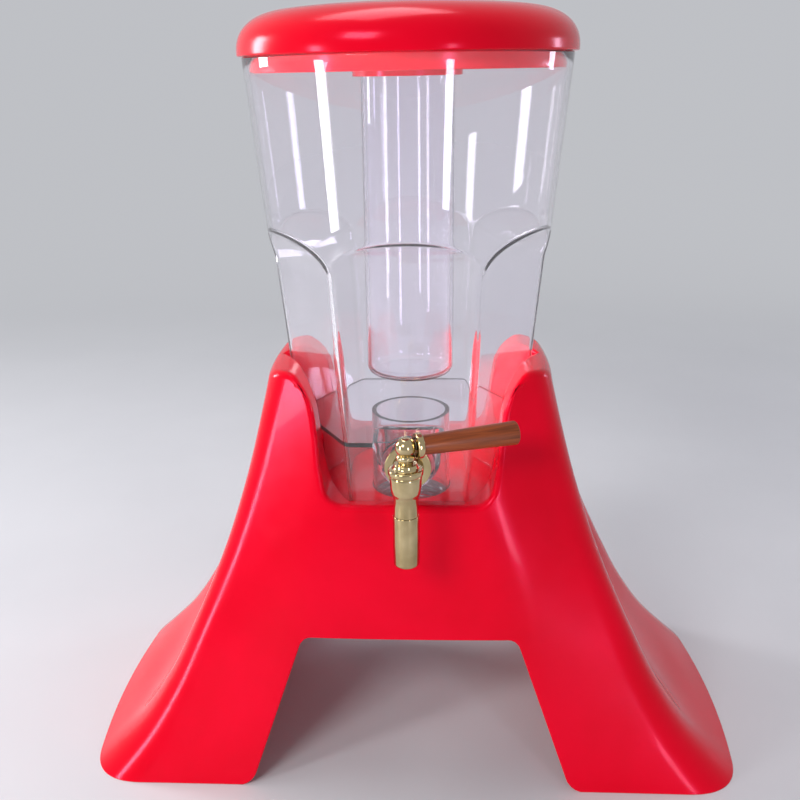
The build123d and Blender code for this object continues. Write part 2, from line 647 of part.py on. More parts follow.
def over_horns():
    """Everything above the stand's top edge."""
    tip_start = (HORN_TIP[1][0] - HORN_TIP[0][0], HORN_TIP[1][1] - HORN_TIP[0][1])
    flank = Spline(*SADDLE, HORN_TIP[0], tangents=((1, 0), tip_start))
    return above([flank, Bezier(*HORN_TIP)])


def pocket(extra, bottom, top):
    """Hexagonal socket round the tank's skirt, widening upwards."""
    low_r = tank_radius(DECK_Z) + POCKET_GAP_DECK + extra
    high_r = tank_radius(HORN_Z) + POCKET_GAP_HORN + extra
    rate = (high_r - low_r) / (HORN_Z - DECK_Z)
    ends = []
    for z in (bottom, top):
        ends.append(Pos(0, 0, z) * RegularPolygon(low_r + rate * (z - DECK_Z), FACETS))
    return loft(ends)


def arch_cutter():
    """Opening between the legs, front to rear."""
    outline = FilletPolyline(
        (-ARCH_FOOT_HALF - ARCH_SILL, ARCH_SILL_Z),
        (-ARCH_FOOT_HALF, ARCH_SILL_Z),
        (-ARCH_TOP_HALF, ARCH_TOP_Z),
        (ARCH_TOP_HALF, ARCH_TOP_Z),
        (ARCH_FOOT_HALF, ARCH_SILL_Z),
        (ARCH_FOOT_HALF + ARCH_SILL, ARCH_SILL_Z),
        radius=[ARCH_FOOT_ROUND, ARCH_TOP_ROUND, ARCH_TOP_ROUND, ARCH_FOOT_ROUND],
    )
    low = Polyline(
        (ARCH_FOOT_HALF + ARCH_SILL, ARCH_SILL_Z),
        (ARCH_FOOT_HALF + ARCH_SILL, -BEYOND),
        (-ARCH_FOOT_HALF - ARCH_SILL, -BEYOND),
        (-ARCH_FOOT_HALF - ARCH_SILL, ARCH_SILL_Z),
    )
    reach = 2 * STAND_REAR_Y
    return prism_y(make_face(outline + low), -reach, reach)


def make_stand():
    """Moulded stand: outer skin with two horns, socket and deck for the tank, open underneath."""
    stand = stand_form(0.0) - over_horns()
    cavity = stand_form(STAND_WALL) - cavity_roof()
    cavity -= pocket(STAND_WALL / cos(pi / FACETS), DECK_Z - DECK_T, HORN_Z + BEYOND)
    stand -= cavity
    stand -= pocket(0.0, DECK_Z, HORN_Z + BEYOND)
    stand -= rod(HUB_R + SEAT_GAP, DECK_Z - DECK_T - 1, DECK_Z + 1)
    return stand - arch_cutter()


# ---- export ---------------------------------------------------------------------------------------


def make_parts():
    """Every piece by its node's name."""
    disc_y = BOSS_FACE_Y - OUTER_GASKET_T
    return {
        "stand": make_stand(),
        "tank": make_tank(),
        "tank_ring_nut": make_ring_nut(),
        "lid": make_lid(),
        "ice_tube": make_ice_tube(),
        "ice_tube_seal": make_ice_seal(),
        "tap_body": make_tap_body(),
        "tap_nozzle": make_nozzle(),
        "tap_plug": make_plug(),
        "plug_seal_rings": make_plug_seals(),
        "plug_friction_washer": make_friction_washer(),
        "plug_collar_nut": make_collar_nut(),
        "lever_stud": make_stud(),
        "handle_ferrule": make_ferrule(),
        "wood_handle": make_wood(),
        "tap_backing_disc": shank_ring(DISC_R, disc_y - DISC_T, DISC_T),
        "outer_gasket": shank_ring(OUTER_GASKET_R, disc_y, OUTER_GASKET_T),
        "inner_gasket": shank_ring(INNER_GASKET_R, SEAT_FACE_Y, INNER_GASKET_T),
        "inner_washer": shank_ring(INNER_WASHER_R, SEAT_FACE_Y + INNER_GASKET_T, INNER_WASHER_T),
        "tap_lock_nut": make_lock_nut(),
    }


os.makedirs("parts", exist_ok=True)
for name, piece in make_parts().items():
    placed = Pos(0, -PART_CENTRE_Y, 0) * piece
    export_step(placed, f"parts/{name}.step")
    print(name, len(placed.solids()), round(placed.volume))
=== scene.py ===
# %% [markdown]
# # A drink tower with a tap
# A clear tapered tank stands in a glossy red two-legged stand, under a domed red lid that carries an ice
# tube. A plated tap with a wooden lever is screwed into the tank's front. The construction is loaded as a
# fixed frame, and every piece that shows gets a smooth surface worked out with numpy around it.

import math

import bmesh
import bpy
import numpy as np
from mathutils import Matrix, Vector


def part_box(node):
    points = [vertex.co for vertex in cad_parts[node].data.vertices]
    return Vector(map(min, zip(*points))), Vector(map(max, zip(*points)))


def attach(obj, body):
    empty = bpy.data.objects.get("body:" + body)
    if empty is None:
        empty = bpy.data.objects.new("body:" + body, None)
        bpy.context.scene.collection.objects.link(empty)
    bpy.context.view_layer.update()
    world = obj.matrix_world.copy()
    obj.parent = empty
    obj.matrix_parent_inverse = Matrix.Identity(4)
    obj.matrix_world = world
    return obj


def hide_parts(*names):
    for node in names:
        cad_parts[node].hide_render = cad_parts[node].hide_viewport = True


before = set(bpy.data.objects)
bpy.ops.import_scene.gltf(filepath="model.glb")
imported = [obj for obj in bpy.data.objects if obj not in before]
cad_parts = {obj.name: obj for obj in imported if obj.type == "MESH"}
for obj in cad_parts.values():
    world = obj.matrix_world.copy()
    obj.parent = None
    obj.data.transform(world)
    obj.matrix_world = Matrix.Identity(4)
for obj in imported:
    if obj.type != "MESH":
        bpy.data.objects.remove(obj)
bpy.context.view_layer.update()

# %% [markdown]
# Everything below is worked out in millimetres about the tank's own axis, because the tank, the lid, the
# ice tube and the stand's socket all share it. The axis is read from the frame, and one function carries
# finished points into the frame's metres.

# %% Units, and where the tank's axis is
MM = 0.001
tank_low, tank_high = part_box("tank")
AXIS = np.array([(tank_low.x + tank_high.x) / 2, (tank_low.y + tank_high.y) / 2, 0.0]) / MM


def span(node):
    """A node's lowest and highest corner, in millimetres about the tank's axis."""
    return [np.array(corner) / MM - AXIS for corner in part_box(node)]


RIM_Z = span("tank")[1][2]
DECK_Z = span("tank_ring_nut")[1][2] + 3.0
print("tank axis at", AXIS.round(2), "rim at", round(RIM_Z, 1), "deck at", round(DECK_Z, 1))

# %% [markdown]
# A surface is a grid of points. Its faces are found from the grid's size alone, as one index array. A piece
# is one or more such sheets: their shared borders are merged, holes may be bridged, and all faces are then
# turned outwards. Edges sharper than a limit stay crisp, and all others are shaded smooth.


# %% Sheets of points into meshes
def sheet_faces(rows, cols, start, round_rows, round_cols):
    """Corner numbers of every quad of a grid: (i, j), (i, j+1), (i+1, j+1), (i+1, j)."""
    i = np.arange(rows if round_rows else rows - 1)
    j = np.arange(cols if round_cols else cols - 1)
    i, j = np.meshgrid(i, j, indexing="ij")
    i2, j2 = (i + 1) % rows, (j + 1) % cols
    return np.stack([i * cols + j, i * cols + j2, i2 * cols + j2, i2 * cols + j], -1).reshape(-1, 4) + start


def mesh_from(name, sheets, crisp=35.0, bridge=False):
    """One mesh from sheets, each (points[rows, cols, 3] in mm, rows are a ring, columns are a ring)."""
    points, faces, count = [], [], 0
    for grid, round_rows, round_cols in sheets:
        rows, cols = grid.shape[:2]
        faces.append(sheet_faces(rows, cols, count, round_rows, round_cols))
        points.append(grid.reshape(-1, 3))
        count += rows * cols
    mesh = bpy.data.meshes.new(name)
    mesh.from_pydata((np.concatenate(points) + AXIS) * MM, [], np.concatenate(faces))
    work = bmesh.new()
    work.from_mesh(mesh)
    bmesh.ops.remove_doubles(work, verts=work.verts, dist=0.00001)
    bmesh.ops.dissolve_degenerate(work, edges=work.edges, dist=0.000005)
    if bridge:
        open_edges = [edge for edge in work.edges if len(edge.link_faces) == 1]
        bmesh.ops.bridge_loops(work, edges=open_edges)
    bmesh.ops.recalc_face_normals(work, faces=work.faces)
    open_edges = sum(len(edge.link_faces) != 2 for edge in work.edges)
    work.to_mesh(mesh)
    work.free()
    mesh.polygons.foreach_set("use_smooth", np.ones(len(mesh.polygons), bool))
    mesh.set_sharp_from_angle(angle=math.radians(crisp))
    print(f"{name}: {len(mesh.polygons)} faces, {open_edges} open edges")
    return mesh


def show(name, mesh, body, nodes, material):
    """Makes the object of a finished mesh, which rides on a body and stands for the given nodes."""
    piece = bpy.data.objects.new(name, mesh)
    bpy.context.scene.collection.objects.link(piece)
    mesh.materials.append(material)
    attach(piece, body)
    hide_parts(*nodes)
    return piece


# %% [markdown]
# Most of this object was turned or moulded round: lid, ice tube, tap, lever, washers. A turned form is an
# outline of (radius, height) pairs swept round an axis. Real edges are never sharp, so each corner of the
# outline is first replaced by a small curve.


# %% Turned forms
def rounded(corners, radius, steps=6):
    """Closed outline whose every corner C becomes (1-w)^2 A + 2w(1-w) C + w^2 B, with A and B a radius
    away from C along its two sides, or nearly half a side where the side is short."""
    corner = np.array(corners, float)
    back, ahead = np.roll(corner, 1, 0) - corner, np.roll(corner, -1, 0) - corner
    long_back, long_ahead = (np.maximum(np.linalg.norm(v, axis=1), 1e-9) for v in (back, ahead))
    cut = np.minimum(np.minimum(np.broadcast_to(radius, len(corner)), 0.48 * long_back), 0.48 * long_ahead)
    a, b = corner + back * (cut / long_back)[:, None], corner + ahead * (cut / long_ahead)[:, None]
    w = np.linspace(0, 1, steps)[:, None, None]
    return ((1 - w) ** 2 * a + 2 * w * (1 - w) * corner + w**2 * b).transpose(1, 0, 2).reshape(-1, 2)


def turned(outline, segments=96):
    """Outline (r, h) swept round the Z axis: (r cos a, r sin a, h) for a full turn of a."""
    a = np.linspace(0, 2 * np.pi, segments, endpoint=False)
    r, h = outline[:, :1], outline[:, 1:]
    return np.stack([r * np.cos(a), r * np.sin(a), h + 0 * a], -1)


def placed(grid, at, axis):
    """Turns a grid made about +Z so that +Z points along axis, and moves it to a point."""
    z = np.array(axis, float) / np.linalg.norm(axis)
    x = np.cross((0.0, 0.0, 1.0), z) if abs(z[2]) < 0.99 else np.array([1.0, 0.0, 0.0])
    x = x / np.linalg.norm(x)
    return grid @ np.stack([x, np.cross(z, x), z]) + np.array(at, float)


def ring_sheet(grid):
    """A turned sheet whose outline is closed."""
    return (grid, True, True)


print("turned forms ready")

# %% [markdown]
# ## Finishes
# Each finish is one Principled shader. What is even all over sits on the shader's own sockets. What varies
# on the real thing, such as how polished the plastic is, comes from noise on Object coordinates.


# %% Node helpers
def new_finish(name, **sockets):
    """A material with one Principled shader and its even values. Returns material, tree and shader."""
    material = bpy.data.materials.new(name)
    material.use_nodes = True
    tree = material.node_tree
    shader = tree.nodes["Principled BSDF"]
    for socket, value in sockets.items():
        shader.inputs[socket.replace("_", " ")].default_value = value
    return material, tree, shader


def noise(tree, scale, detail=3.0, stretch=(1, 1, 1), turn=(0, 0, 0), distortion=0.0):
    """Noise on Object coordinates; scale is in cells per metre. The coordinates are turned first and then
    stretched, so that the stretch runs along the turned axes."""
    where = tree.nodes.new("ShaderNodeTexCoord")
    turning, mapping = tree.nodes.new("ShaderNodeMapping"), tree.nodes.new("ShaderNodeMapping")
    turning.inputs["Rotation"].default_value = turn
    mapping.inputs["Scale"].default_value = stretch
    grain = tree.nodes.new("ShaderNodeTexNoise")
    grain.inputs["Scale"].default_value = scale
    grain.inputs["Detail"].default_value = detail
    grain.inputs["Distortion"].default_value = distortion
    tree.links.new(where.outputs["Object"], turning.inputs["Vector"])
    tree.links.new(turning.outputs["Vector"], mapping.inputs["Vector"])
    tree.links.new(mapping.outputs["Vector"], grain.inputs["Vector"])
    return grain.outputs["Fac"]


def ramp(tree, value, stops):
    """Colour ramp through (place, colour) stops; a plain number stands for a grey."""
    node = tree.nodes.new("ShaderNodeValToRGB")
    elements = node.color_ramp.elements
    while len(elements) < len(stops):
        elements.new(0.5)
    for element, (place, colour) in zip(elements, stops):
        element.position = place
        element.color = (colour,) * 3 + (1,) if isinstance(colour, float) else (*colour, 1)
    tree.links.new(value, node.inputs["Fac"])
    return node.outputs["Color"]


def bumped(tree, shader, height, depth, strength=1.0):
    """Tilts the surface by a height field, depth in metres from black to white."""
    bump = tree.nodes.new("ShaderNodeBump")
    bump.inputs["Distance"].default_value = depth
    bump.inputs["Strength"].default_value = strength
    tree.links.new(height, bump.inputs["Height"])
    tree.links.new(bump.outputs["Normal"], shader.inputs["Normal"])


print("node helpers ready")

# %% [markdown]
# Red polypropylene, polished in the mould: deep saturated red with a clear gloss, faint flow mottling in
# the colour, and a very slight waviness that makes window reflections soft at their edges.


# %% Red moulded plastic
def red_plastic():
    """Glossy red with a tinted reflection, so that the pale studio doesn't wash it out."""
    material, tree, shader = new_finish(
        "polished_red", IOR=1.49, Specular_Tint=(1.0, 0.12, 0.3, 1),
        Coat_Weight=0.06, Coat_Roughness=0.03, Coat_IOR=1.5,
    )
    flow = noise(tree, 14.0, detail=4.0, distortion=0.4)
    colours = [(0.3, (0.72, 0.0, 0.01)), (0.7, (0.82, 0.0, 0.016))]
    tree.links.new(ramp(tree, flow, colours), shader.inputs["Base Color"])
    polish = noise(tree, 60.0, detail=5.0)
    tree.links.new(ramp(tree, polish, [(0.3, 0.16), (0.75, 0.24)]), shader.inputs["Roughness"])
    bumped(tree, shader, noise(tree, 28.0, detail=1.0), 0.00012, 0.3)
    return material


RED = red_plastic()
print("finish:", RED.name)

# %% [markdown]
# Clear acrylic: nearly full transmission with acrylic's refractive index; the little that is left makes the
# thick edges milky. Rays towards lamps pass straight through, so that the tank doesn't throw a solid
# shadow. Its polish varies a little with fine marks.


# %% Clear acrylic
def clear_plastic():
    """Clear plastic, fully open to rays that look for a lamp."""
    material, tree, shader = new_finish("clear_acrylic", IOR=1.49, Transmission_Weight=0.98)
    tint = noise(tree, 9.0, detail=2.0)
    tints = [(0.3, (0.985, 0.965, 1.0)), (0.7, (0.97, 0.955, 0.995))]
    tree.links.new(ramp(tree, tint, tints), shader.inputs["Base Color"])
    marks = noise(tree, 160.0, detail=6.0)
    tree.links.new(ramp(tree, marks, [(0.55, 0.0), (0.9, 0.06)]), shader.inputs["Roughness"])
    bumped(tree, shader, noise(tree, 22.0, detail=1.0), 0.0002, 0.25)
    lamp_rays = tree.nodes.new("ShaderNodeLightPath")
    through = tree.nodes.new("ShaderNodeBsdfTransparent")
    mix = tree.nodes.new("ShaderNodeMixShader")
    tree.links.new(lamp_rays.outputs["Is Shadow Ray"], mix.inputs["Fac"])
    tree.links.new(shader.outputs["BSDF"], mix.inputs[1])
    tree.links.new(through.outputs["BSDF"], mix.inputs[2])
    tree.links.new(mix.outputs["Shader"], tree.nodes["Material Output"].inputs["Surface"])
    return material


CLEAR = clear_plastic()
print("finish:", CLEAR.name)

# %% [markdown]
# The tap is plated a pale gold and polished; the fasteners inside are plain turned steel; seals are
# matt rubber; the ring nut under the deck is dark moulded plastic.


# %% Metals, rubber and dark plastic
def metal(name, light, dark, smooth, rough):
    """Metal whose colour runs between two tones and whose polish runs between two roughnesses."""
    material, tree, shader = new_finish(name, Metallic=1.0)
    tone = noise(tree, 70.0, detail=4.0)
    tree.links.new(ramp(tree, tone, [(0.35, dark), (0.65, light)]), shader.inputs["Base Color"])
    wear = noise(tree, 400.0, detail=5.0)
    tree.links.new(ramp(tree, wear, [(0.4, smooth), (0.8, rough)]), shader.inputs["Roughness"])
    bumped(tree, shader, noise(tree, 120.0, detail=2.0), 0.00006, 0.4)
    return material


def matt(name, light, dark, rough, grain_scale):
    """Rubber or dull plastic: two close tones, high roughness and a fine grain."""
    material, tree, shader = new_finish(name, IOR=1.5)
    tone = noise(tree, grain_scale / 4, detail=3.0)
    tree.links.new(ramp(tree, tone, [(0.3, dark), (0.7, light)]), shader.inputs["Base Color"])
    dull = noise(tree, grain_scale, detail=4.0)
    tree.links.new(ramp(tree, dull, [(0.3, rough - 0.1), (0.7, rough + 0.1)]), shader.inputs["Roughness"])
    bumped(tree, shader, noise(tree, grain_scale * 2, detail=3.0), 0.00008, 0.5)
    return material


GOLD = metal("pale_gold_plate", (0.62, 0.5, 0.28), (0.44, 0.34, 0.17), 0.05, 0.12)
STEEL = metal("turned_steel", (0.62, 0.62, 0.62), (0.5, 0.5, 0.51), 0.22, 0.34)
RUBBER = matt("seal_black", (0.03, 0.028, 0.03), (0.014, 0.014, 0.015), 0.55, 260.0)
DARK = matt("dark_moulding", (0.055, 0.055, 0.058), (0.035, 0.035, 0.037), 0.42, 180.0)
print("finishes:", GOLD.name, STEEL.name, RUBBER.name, DARK.name)

# %% [markdown]
# The lever's grip is turned hardwood under a thin varnish. Growth rings are long streaks along the lever,
# so the noise is turned to the lever's line and stretched: few cells along it, many across.

# %% Varnished wood
LEVER_AZIMUTH = 20.0      # degrees from +X to the closed lever


def handle_wood():
    """Reddish hardwood with streaks and fine pores along the lever."""
    material, tree, shader = new_finish("varnished_wood", IOR=1.4, Coat_Weight=0.15, Coat_Roughness=0.2)
    turn = (0, 0, math.radians(-LEVER_AZIMUTH))
    streaks = noise(tree, 1.0, detail=6.0, stretch=(28, 420, 420), turn=turn, distortion=0.6)
    colours = [(0.25, (0.1, 0.02, 0.004)), (0.5, (0.27, 0.055, 0.01)), (0.75, (0.4, 0.09, 0.016))]
    tree.links.new(ramp(tree, streaks, colours), shader.inputs["Base Color"])
    pores = noise(tree, 1.0, detail=4.0, stretch=(90, 1500, 1500), turn=turn)
    tree.links.new(ramp(tree, pores, [(0.3, 0.5), (0.7, 0.34)]), shader.inputs["Roughness"])
    bumped(tree, shader, pores, 0.00012, 0.6)
    return material


WOOD = handle_wood()
print("finish:", WOOD.name)

# %% [markdown]
# ## The stand
# The stand is one moulding, the same left and right and front and back, so a quarter is worked out and
# mirrored. Level by level its outline is a chain of short curves: half the front face, a rounded crease,
# the leg's face, the rounded ridge, then the flank. The levels' measures run smoothly with height.

# %% Stand: levels and outline
# Height, front face, crease half-width, ridge, side reach, ridge rounding length.
STAND_LEVELS = np.array([
    (0.0, 105.0, 112.0, 240.0, 224.0, 34.0),
    (10.0, 103.5, 106.0, 230.0, 211.0, 32.0),
    (30.0, 100.0, 96.0, 212.0, 184.0, 29.0),
    (60.0, 95.2, 85.0, 191.0, 156.0, 26.0),
    (100.0, 88.8, 74.0, 169.0, 131.0, 23.0),
    (150.0, 81.2, 65.0, 143.5, 111.0, 20.0),
    (200.0, 74.4, 51.0, 122.0, 101.5, 17.0),
    (250.0, 68.0, 42.0, 104.5, 94.0, 14.0),
    (280.0, 64.2, 37.0, 94.0, 91.0, 12.0),
])
RIDGE_AZIMUTH = math.radians(26.0)    # direction of the ridge, from +X towards the front
SIDE_BLEND = 0.4          # how soon the flank's hollow turns to run front to back
PANEL_BULGE = 1.2         # front face's crown at the middle
CREASE_ROUND = 13.0       # length of the crease's rounding along each face
RIDGE_INSET = 1.35        # the ridge moves in by this many walls
STAND_WALL = 3.0


def level_measures(z):
    """The levels' measures at any heights: on each span, h1 a + h2 d ma + h3 b + h4 d mb, the cubic
    through the span's two ends with their slopes."""
    heights, values = STAND_LEVELS[:, 0], STAND_LEVELS[:, 1:]
    slopes = np.gradient(values, heights, axis=0)
    k = np.clip(np.searchsorted(heights, z, side="right") - 1, 0, len(heights) - 2)
    d = (heights[k + 1] - heights[k])[..., None]
    w = (np.asarray(z) - heights[k])[..., None] / d
    curve = (1 + 2 * w) * (1 - w) ** 2 * values[k] + w * (1 - w) ** 2 * d * slopes[k]
    curve += w**2 * (3 - 2 * w) * values[k + 1] + w**2 * (w - 1) * d * slopes[k + 1]
    return np.moveaxis(curve, -1, 0)


def toward(start, end, distance):
    """Points a distance along the lines from start to end."""
    line = end - start
    return start + line * (distance / np.linalg.norm(line, axis=-1))[..., None]


def outline_curves(z, inset):
    """Control points of the six curves of the quarter outline at the given heights: [curve][a, b, c]."""
    front, crease, ridge, side, ease = level_measures(z)
    front, side, ease = front - inset, side - inset, ease - inset
    crease, ridge = crease - inset / 3, ridge - RIDGE_INSET * inset
    spine = np.stack([ridge * math.cos(RIDGE_AZIMUTH), -ridge * math.sin(RIDGE_AZIMUTH)], -1)
    flank_x = (2 * side - (1 - SIDE_BLEND) * spine[..., 0]) / (1 + SIDE_BLEND)
    flank = np.stack([flank_x, 0 * side], -1)
    bend = np.stack([crease, -front], -1)
    middle = np.stack([0 * front, -front - PANEL_BULGE], -1)
    edge_bulge = PANEL_BULGE * (1 - (1 - CREASE_ROUND / crease) ** 2)
    panel_end = np.stack([crease - CREASE_ROUND, -front - edge_bulge], -1)
    panel_mid = np.stack([panel_end[..., 0] / 2, -front - PANEL_BULGE], -1)
    crease_end = toward(bend, spine, CREASE_ROUND + 0 * front)
    ridge_start, ridge_end = toward(spine, bend, ease), toward(spine, flank, ease)
    hollow = spine + SIDE_BLEND * (flank - spine)
    lead = (hollow + flank) / 2
    side_end = np.stack([side, 0 * side], -1)
    return np.array([
        (middle, panel_mid, panel_end),
        (panel_end, bend, crease_end),
        (crease_end, (crease_end + ridge_start) / 2, ridge_start),
        (ridge_start, spine, ridge_end),
        (ridge_end, (ridge_end + hollow) / 2, hollow),
        (hollow, lead, side_end),
    ])


def skin(t, z, inset=0.0):
    """Point of the stand's skin at outline place t (0 to 6) and height z: on curve number floor(t), with
    w the rest, (1-w)^2 a + 2w(1-w) b + w^2 c."""
    t, z = np.broadcast_arrays(np.asarray(t, float), np.asarray(z, float))
    curves = outline_curves(z, inset)
    k = np.clip(t.astype(int), 0, 5)
    w = (t - k)[..., None]
    a, b, c = (np.take_along_axis(curves[:, i], k[None, ..., None], 0)[0] for i in range(3))
    plan = (1 - w) ** 2 * a + 2 * w * (1 - w) * b + w**2 * c
    return np.concatenate([plan, z[..., None]], -1)


def halved(low, high, too_high, rounds=36):
    """Halves the ranges low to high together until they close on where too_high turns true."""
    for _ in range(rounds):
        middle = (low + high) / 2
        over = too_high(middle)
        low, high = np.where(over, low, middle), np.where(over, middle, high)
    return (low + high) / 2


def place_at(x, z, inset=0.0):
    """Outline place t where the skin at height z is x to the side, in front of the ridge."""
    x, z = np.broadcast_arrays(np.asarray(x, float), np.asarray(z, float))
    return halved(np.zeros(x.shape), np.full(x.shape, 3.4), lambda t: skin(t, z, inset)[..., 0] > x)


print("stand at the floor reaches", skin(6.0, 0.0).round(1), "ridge", skin(3.5, 0.0).round(1))

# %% [markdown]
# Seen from the front, the moulding is bounded by two lines: the arch between the legs, and the top edge
# that runs from the valley in front of the tank up a horn and over its tip. Both are cut straight through
# from front to back, so each is one line of half-width against height.

# %% Stand: arch and top edge, seen from the front
ARCH_TOP, ARCH_TOP_HALF, ARCH_TOP_ROUND = 104.0, 69.0, 8.0
ARCH_FLOOR, ARCH_FOOT_HALF, ARCH_FOOT_ROUND = -0.4, 105.5, 14.0
SADDLE = [
    (40.0, 192.0), (49.5, 195.5), (54.5, 211.0), (57.2, 235.0), (60.5, 253.0), (66.5, 264.0), (76.0, 270.8),
]
HORN_TIP = [(76.0, 270.8), (90.0, 271.2), (95.0, 265.0), (102.0, 252.0)]
HORN_CORNER = 264.0       # height on the horn's inner edge from which the edge counts as its tip


def arc(centre, radius, start, end, steps):
    """Points of an arc between two angles in degrees."""
    a = np.radians(np.linspace(start, end, steps))
    return np.stack([centre[0] + radius * np.cos(a), centre[1] + radius * np.sin(a)], -1)


def arch_lines():
    """The arch's edge as two lines of (half-width, height): up the leg, and along the top, split in the
    middle of the rounded upper corner."""
    rise = np.array([ARCH_TOP_HALF - ARCH_FOOT_HALF, ARCH_TOP - ARCH_FLOOR])
    lean = math.degrees(math.acos(rise[0] / np.linalg.norm(rise)))
    reach = 1 / math.tan(math.radians(lean / 2))
    foot_centre = (ARCH_FOOT_HALF + ARCH_FOOT_ROUND * reach, ARCH_FLOOR + ARCH_FOOT_ROUND)
    top_centre = (ARCH_TOP_HALF - ARCH_TOP_ROUND * reach, ARCH_TOP - ARCH_TOP_ROUND)
    foot = arc(foot_centre, ARCH_FOOT_ROUND, 270, 90 + lean, 24)
    middle = lean / 2
    leg = np.concatenate([foot, arc(top_centre, ARCH_TOP_ROUND, lean - 90, middle, 8)])
    top = np.concatenate([arc(top_centre, ARCH_TOP_ROUND, middle, 90, 8), [(0, ARCH_TOP)]])
    return leg, top[::-1]


def bezier(points, steps):
    """Curve of four control points: (1-w)^3 a + 3w(1-w)^2 b + 3w^2(1-w) c + w^3 d."""
    a, b, c, d = np.array(points, float)
    w = np.linspace(0, 1, steps)[:, None]
    return (1 - w) ** 3 * a + 3 * w * (1 - w) ** 2 * b + 3 * w**2 * (1 - w) * c + w**3 * d


def saddle_line(steps=40):
    """The top edge: a cubic through the saddle's points, level at the valley, then the tip's curve."""
    points = np.array(SADDLE)
    run = np.concatenate([[0], np.cumsum(np.linalg.norm(np.diff(points, axis=0), axis=1))])
    slopes = np.gradient(points, run, axis=0)
    slopes[0], slopes[-1] = (1, 0), (1, 0.03)
    q = np.linspace(0, run[-1], steps * len(points))
    k = np.clip(np.searchsorted(run, q, side="right") - 1, 0, len(points) - 2)
    d = (run[k + 1] - run[k])[:, None]
    w = (q - run[k])[:, None] / d
    rise = (1 + 2 * w) * (1 - w) ** 2 * points[k] + w * (1 - w) ** 2 * d * slopes[k]
    rise += w**2 * (3 - 2 * w) * points[k + 1] + w**2 * (w - 1) * d * slopes[k + 1]
    return np.concatenate([[(0, points[0, 1])], rise, bezier(HORN_TIP, 60)[1:]])


ARCH_LEG, ARCH_ROOF = arch_lines()
TOP_EDGE = saddle_line()
valley_end = int(np.argmax(np.diff(TOP_EDGE[:, 1]) > np.diff(TOP_EDGE[:, 0])))
SPLIT_LOW, SPLIT_HIGH = ARCH_LEG[-1], TOP_EDGE[valley_end]
horn_end = int(np.argmax(TOP_EDGE[:, 1] >= HORN_CORNER))
INNER_LINE = np.concatenate([ARCH_LEG, TOP_EDGE[valley_end:horn_end + 1]])


def inner_x(z):
    """Half-width of the leg's inner edge: up the arch, straight to the valley, then up the horn."""
    return np.interp(z, INNER_LINE[:, 1], INNER_LINE[:, 0])


def roof_z(x):
    """Height of the arch's top edge."""
    return np.interp(x, ARCH_ROOF[:, 0], ARCH_ROOF[:, 1])


def top_z(x):
    """Height of the stand's top edge."""
    return np.interp(x, TOP_EDGE[:, 0], TOP_EDGE[:, 1])


print("arch corner", SPLIT_LOW.round(1), "valley end", SPLIT_HIGH.round(1))
print("horn corner", TOP_EDGE[horn_end].round(1))

# %% [markdown]
# The quarter is laid out as two sheets that share a line: the leg with its horn, and the front panel
# between the arch and the valley. The leg's columns run from its inner edge, over the ridge, to the
# middle of the flank. Near the top its rows bend from level to the tip's curve.

# %% Stand: the outer skin
EDGE_CELL = 4.8           # first cell along the top edge, wider than the edge's rounding
RIM_CELL = 1.8            # and along the thin rims
low_z, high_z = SPLIT_LOW[1], SPLIT_HIGH[1]
leg_rows = np.concatenate([[0], np.linspace(RIM_CELL, 9, 5), np.linspace(9, low_z, 40)[1:]])
panel_rows = np.concatenate([np.linspace(low_z, high_z - EDGE_CELL, 32)[1:], [high_z]])
horn_rows = np.concatenate([np.linspace(high_z, HORN_CORNER - EDGE_CELL, 30)[1:], [HORN_CORNER]])
LEG_END = 3.0             # outline place where the leg's columns stop following its inner edge


def leg_places(z, inset=0.0):
    """Outline places of the leg's columns in the rows at heights z."""
    start = place_at(inner_x(z), z, inset)[:, None]
    second = place_at(inner_x(z) + EDGE_CELL, z, inset)[:, None]
    share = np.linspace(0, 1, 31)
    follow = second + (LEG_END - second) * share
    fixed = [np.linspace(LEG_END, 4, 16), np.linspace(4, 5, 8), np.linspace(5, 6, 14)]
    rest = np.concatenate([part[1:] for part in fixed])
    return np.concatenate([start, follow, rest + 0 * start], 1)


def leg_sheet():
    """Leg and horn: level rows, bent near the top so that the last one is the tip's edge."""
    z = np.concatenate([leg_rows, panel_rows, horn_rows])
    t = leg_places(z)
    last = t[-1]
    tip = halved(np.full(last.shape, HORN_CORNER - 8), np.full(last.shape, HORN_CORNER + 10),
                 lambda h: h > top_z(skin(last, h)[..., 0]))
    w = np.clip((z - high_z) / (HORN_CORNER - high_z), 0, 1)[:, None]
    bend = w**2 * (3 - 2 * w)
    return skin(t, z[:, None] + (tip - HORN_CORNER) * bend)


def panel_sheet(rows, foot, head, inset=0.0):
    """Front panel from the arch's roof to a head line: height (1-v) foot(x) + v head(x), where x is the
    share w of the inner line's half-width at that row."""
    w = np.linspace(0, 1, 30)[None, :]
    side = inner_x(rows)[:, None]
    v = ((rows - rows[0]) / (rows[-1] - rows[0]))[:, None]
    z = (1 - v) * foot(w * side[0]) + v * head(w * side[-1])
    return skin(place_at(w * side, z, inset), z, inset)


outer_leg = leg_sheet()
shared_rows = np.concatenate([[low_z], panel_rows])
outer_panel = panel_sheet(shared_rows, roof_z, top_z)
print("outer leg", outer_leg.shape, "outer panel", outer_panel.shape)

# %% [markdown]
# The tank stands in a six-sided socket that widens upwards, down to a level deck with a hole for the
# tank's hub. Between the outer skin and the socket runs the top edge's broad lip. It follows the front
# view's line from front to back, which a strip between the two borders gives.

